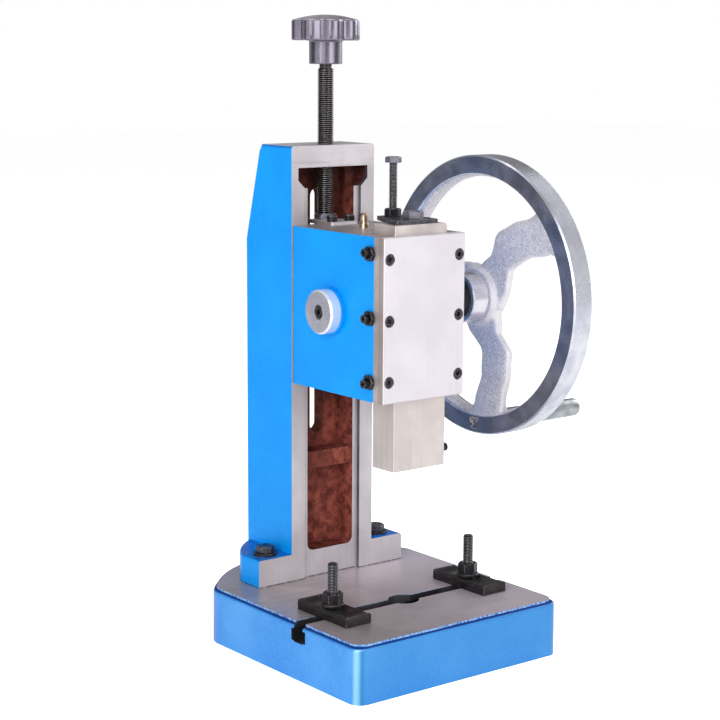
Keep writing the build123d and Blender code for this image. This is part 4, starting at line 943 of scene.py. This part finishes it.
def spoke_mesh(angle):
    """One cast spoke: it bends sideways in the wheel's plane and is wide at both roots."""
    middle_x = hub_left + 33.0
    sideways = [(18.0, 0.0), (32.0, 4.0), (56.0, 22.0), (78.0, 20.5), (106.0, 12.0), (124.0, 6.0)]
    half_width = [(18.0, 26.0), (38.0, 22.5), (60.0, 20.5), (84.0, 20.0), (108.0, 21.5), (124.0, 28.0)]
    half_depth = [(18.0, 8.0), (42.0, 5.4), (104.0, 5.2), (124.0, 7.5)]
    outward = Vector((0, math.cos(angle), math.sin(angle)))
    across = Vector((0, math.sin(angle), -math.cos(angle)))
    root, sides, stations = 18.0, 20, 26
    mesh = bmesh.new()
    rings = []
    for station in range(stations):
        radius = root + (rim_inner + 4.5 - root) * station / (stations - 1)
        centre = outward * radius + across * smooth_between(sideways, radius) + Vector((middle_x, 0, 0))
        ring = []
        for step in range(sides):
            turn = 2 * math.pi * step / sides
            flat = math.copysign(abs(math.cos(turn)) ** 0.45, math.cos(turn))
            deep = math.copysign(abs(math.sin(turn)) ** 0.6, math.sin(turn))
            point = centre + across * flat * smooth_between(half_width, radius)
            point += Vector((deep * smooth_between(half_depth, radius), 0, 0))
            ring.append(mesh.verts.new(point + Vector((0, axle.y, axle.z))))
        rings.append(ring)
    stitch(mesh, rings)
    mesh.transform(Matrix.Scale(MM, 4))
    return mesh


def build_casting():
    """Hub core, spokes and the rim's inner side as one rough casting with filleted roots."""
    centre = (0, axle.y, axle.z)
    hub_rows = [(hub_left + along, radius) for along, radius in ((19, 22), (20, 29), (39, 29), (40.5, 22))]
    hub = place(spin(hub_rows, columns=64), centre, "X")
    left, right = rim_left + 2.6, wheel_high.x - 2.6
    rim_rows = [(left, rim_inner + 4), (left, rim_inner - 0.2), (rim_left + 8, rim_inner - 2.6),
                (wheel_high.x - 8, rim_inner - 2.6), (right, rim_inner - 0.2), (right, rim_inner + 4)]
    ring = place(spin(rim_rows, columns=160, closed=True), centre, "X")
    rough = linked("rough", to_mesh("rough", hub, ring, *[spoke_mesh(angle) for angle in spoke_angles]))
    remesh = rough.modifiers.new("one_skin", "REMESH")
    remesh.mode, remesh.voxel_size = "VOXEL", 1.5 * MM
    soften = rough.modifiers.new("fillets", "SMOOTH")
    soften.factor, soften.iterations = 0.5, 10
    mesh = baked(rough)
    bpy.data.objects.remove(rough)
    mesh.name = "handwheel_casting"
    outward = [vertex.normal.copy() for vertex in mesh.vertices]
    for vertex, direction in zip(mesh.vertices, outward):
        spot = vertex.co / MM
        grain = noise.noise(spot / 2.6) * 0.14 + noise.noise(spot / 8.0) * 0.30
        vertex.co += direction * grain * MM
    for polygon in mesh.polygons:
        polygon.use_smooth = True
    piece(mesh, "cast", "wheel", "handwheel")


def build_rim_and_hub():
    """The turned surfaces: rim with chamfers and a drilled spindle hole, and hub with its bead."""
    centre = (0, axle.y, axle.z)
    right, chamfer = wheel_high.x, 1.5
    half = [(0.7, rim_inner), (0, rim_inner + 0.7), (0, wheel_radius - chamfer), (chamfer, wheel_radius)]
    rim_rows = [(rim_left + along, radius) for along, radius in half]
    rim_rows += [(right - along, radius) for along, radius in reversed(half)]
    rim_rows += [(right - 3.4, rim_inner + 0.3), (rim_left + 3.4, rim_inner + 0.3)]
    hole = 5.0                          # radius of the spindle's hole
    drill_rows = [(rim_left - 5, hole), (right + 5, hole)]
    drill = turned("drill", drill_rows, (0, axle.y, middle("handle").z), "X", columns=40)
    rim = turned("handwheel_rim", rim_rows, centre, "X", columns=192, closed=True)
    piece(cut(rim, drill), "polish", "wheel")
    bore, hub = 10.02, 25.5
    profile = [(0, bore), (0, hub - 0.8), (0.8, hub), (18.6, hub), (19.2, hub - 0.9), (20, hub - 0.9),
               (20.3, hub + 1.6), (21, hub + 2.3), (22, hub + 2.3), (22.8, hub), (40, hub - 3), (40.5, hub),
               (43.2, hub), (44, hub - 0.8), (44, bore)]
    rows = [(hub_left + along, radius) for along, radius in profile]
    mesh = turned("handwheel_hub", rows, centre, "X", columns=96, closed=True)
    piece(mesh, "polish", "wheel")


# ---- fasteners in groups
def build_foot_bolts():
    """Hexagon bolts through the column's foot, with cone-cut corners."""
    seat = box_mm("foot_washers")[1].z
    low, high = box_mm("foot_bolts")
    across_flats, radius = 16.0, 4.95
    parts = []
    for x, y in foot_places():
        parts.append(hex_head(high.z - seat, across_flats, (x, y, seat), chamfer_bottom=True))
        shank = spin([(low.z, 4.2), (low.z + 0.8, radius), (seat + 0.5, radius)])
        parts.append(place(shank, (x, y, 0)))
    piece(to_mesh("foot_bolt_set", *parts), "grey", "frame", "foot_bolts")


def foot_places():
    """Centres of the foot bolts, from the islands of the CAD's washers."""
    found = []
    for vertex in nodes["foot_washers"].data.vertices:
        spot = vertex.co / MM
        for group in found:
            if (group[0] - spot).length < 26.0:
                group.append(spot)
                break
        else:
            found.append([spot])
    places = []
    for group in found:
        xs, ys = [spot.x for spot in group], [spot.y for spot in group]
        places.append(((min(xs) + max(xs)) / 2, (min(ys) + max(ys)) / 2))
    return places


def build_gib_nuts():
    """Lock nuts of the gib screws on the head's left side."""
    low, high = box_mm("gib_lock_nuts")
    across_flats, across_corners, bore = 13.0, 15.0, 4.02
    spacing = (high.z - low.z - across_corners) / 2
    centre = (low + high) / 2
    parts = []
    for row in (-1, 0, 1):
        spot = (high.x, centre.y, centre.z + row * spacing)
        parts.append(place(nut(high.x - low.x, across_flats, bore), spot, "-X"))
    piece(to_mesh("gib_nut_set", *parts), "black", "head", "gib_lock_nuts")


def build_handle():
    """Turned handle, slightly waisted behind its collar, rounded at its free end."""
    low, high = box_mm("handle")
    centre = middle("handle")
    bore, grip, tip, recess = 5.04, 10.3, 9.3, 6.9
    rows = [(low.x, bore), (low.x, 10.0), (low.x + 0.8, 10.8), (low.x + 3.0, 10.9), (low.x + 4.2, grip)]
    steps = 12
    for step in range(1, steps + 1):
        share = step / steps
        rows.append((low.x + 4.2 + (high.x - low.x - 7.0) * share, grip - (grip - tip) * share))
    rows += [(high.x - 1.4, tip - 0.35), (high.x - 0.4, tip - 1.1), (high.x, tip - 2.0), (high.x, recess),
             (high.x - 8.2, recess), (high.x - 8.2, bore)]
    mesh = turned("turned_handle", rows, (0, centre.y, centre.z), "X", columns=64, closed=True)
    piece(mesh, "handle", "handle", "handle")


# ---- build
build_lead_screw()
build_knob()
build_nut("lead_screw_nut", "screw_nut", 19.0, 8.02, finish="nut")
for side in ("left", "right"):
    build_clamp(side)
build_stop_bolt()
build_plate_bolt()
build_casting()
build_rim_and_hub()
build_foot_bolts()
build_gib_nuts()
build_handle()

carried_over = {
    "base": ["base"], "column": ["column"], "head": ["head"], "ram": ["ram"],
    "plate": ["cover_plate", "screw_bracket"],
    "steel": ["rack", "pinion_shaft", "wheel_key", "handle_spindle"],
    "disc": ["cap_disc"],
    "brass": ["oiler"],
    "bronze": ["gib", "left_bush", "right_bush"],
    "strap": ["clamp_plate"], "grey": ["stop_plate"],
}
finish_of = {node: finish for finish, members in carried_over.items() for node in members}
for name, node in nodes.items():
    node.data.materials.clear()
    node.data.materials.append(materials[finish_of.get(name, "black")])


# ---- floor, light and camera
def build_floor():
    """Plain pale floor, lit a little from within like a light table."""
    s = Surface("floor_pale_paper")
    cloud = s.ramp(s.noise(400, detail=2.0), 0.3, 0.7)
    colour = s.mix(cloud, tint(250, 250, 250), tint(254, 254, 254))
    look = Look(colour, 0.0, 0.8, s.times(s.noise(2.0), 0.01), 0.1)
    material = s.finish(look, corner=0.0)
    shader = next(node for node in s.tree.nodes if node.type == "BSDF_PRINCIPLED")
    shader.inputs["Emission Color"].default_value = tint(255, 255, 255)
    ray = s.add("LightPath")
    s.plug(shader.inputs["Emission Strength"], s.ramp(ray.outputs["Is Camera Ray"], 0.0, 1.0, 0.2, 0.8))
    mesh = bmesh.new()
    half = 9.0
    corners = ((-half, -half), (half, -half), (half, half), (-half, half))
    mesh.faces.new([mesh.verts.new((x, y, 0)) for x, y in corners])
    floor = linked("floor", to_mesh("floor", mesh))
    floor.data.materials.append(material)


def build_world():
    """White to the camera; to the metal, bright at the sides and greyer overhead."""
    world = bpy.data.worlds.new("studio")
    bpy.context.scene.world = world
    world.use_nodes = True
    w = Wiring(world.node_tree)
    x, y, z = w.split(w.add("TexCoord").outputs["Generated"])
    ray = w.add("LightPath").outputs
    fade = w.feed(w.add("ValToRGB"), z)
    low, high = fade.color_ramp.elements
    low.position, low.color = 0.0, (0.86, 0.86, 0.86, 1)
    high.position, high.color = 0.75, (0.34, 0.34, 0.36, 1)
    # Upright dark flags stand between the soft boxes; only reflections see them.
    flags = w.calc("SINE", w.times(w.calc("ARCTAN2", y, x), 7.0))
    strength = w.calc("ADD", w.times(flags, ray["Is Glossy Ray"], 0.34), 0.42)
    lit = w.feed(w.add("Background"), fade.outputs[0], strength)
    seen = w.feed(w.add("Background"), (1, 1, 1, 1), 1.0)
    mixed = w.feed(w.add("MixShader"), ray["Is Camera Ray"], lit.outputs[0], seen.outputs[0])
    w.feed(w.add("OutputWorld"), mixed.outputs[0])


def soft_light(name, spot, aim, size, power):
    """A square soft box in metres, facing a point."""
    data = bpy.data.lights.new(name, "AREA")
    data.shape, data.size, data.energy = "SQUARE", size, power
    light = linked(name, data)
    light.location = spot
    light.rotation_mode = "QUATERNION"
    light.rotation_quaternion = (Vector(aim) - Vector(spot)).to_track_quat("-Z", "Y")


def build_camera():
    """Eye level a little above the press, turned to its left side."""
    azimuth, elevation, roll = math.radians(-38.05), math.radians(9.74), math.radians(-0.33)
    eye = Vector((-1.08580, -1.31977, 0.58120))
    level = math.cos(elevation)
    back = Vector((math.sin(azimuth) * level, -math.cos(azimuth) * level, math.sin(elevation)))
    level_right = Vector((math.cos(azimuth), math.sin(azimuth), 0))
    level_up = back.cross(level_right)
    right = level_right * math.cos(roll) - level_up * math.sin(roll)
    up = level_right * math.sin(roll) + level_up * math.cos(roll)
    data = bpy.data.cameras.new("camera")
    data.lens, data.sensor_width = 92.33, 36.0
    data.clip_start, data.clip_end = 0.05, 60.0
    camera = linked("camera", data)
    camera.matrix_world = Matrix.Translation(eye) @ Matrix((right, up, back)).transposed().to_4x4()
    bpy.context.scene.camera = camera


build_floor()
build_world()
press_middle = (0.05, 0.05, 0.28)
soft_light("key", (-2.3, -1.3, 1.25), press_middle, 2.0, 60.0)
soft_light("front", (0.6, -2.8, 1.2), press_middle, 2.4, 42.0)
soft_light("right", (2.6, 0.2, 1.4), press_middle, 1.8, 30.0)
soft_light("top", (0.0, 0.6, 2.8), press_middle, 1.6, 16.0)
build_camera()
bpy.context.scene.view_settings.view_transform = "Standard"
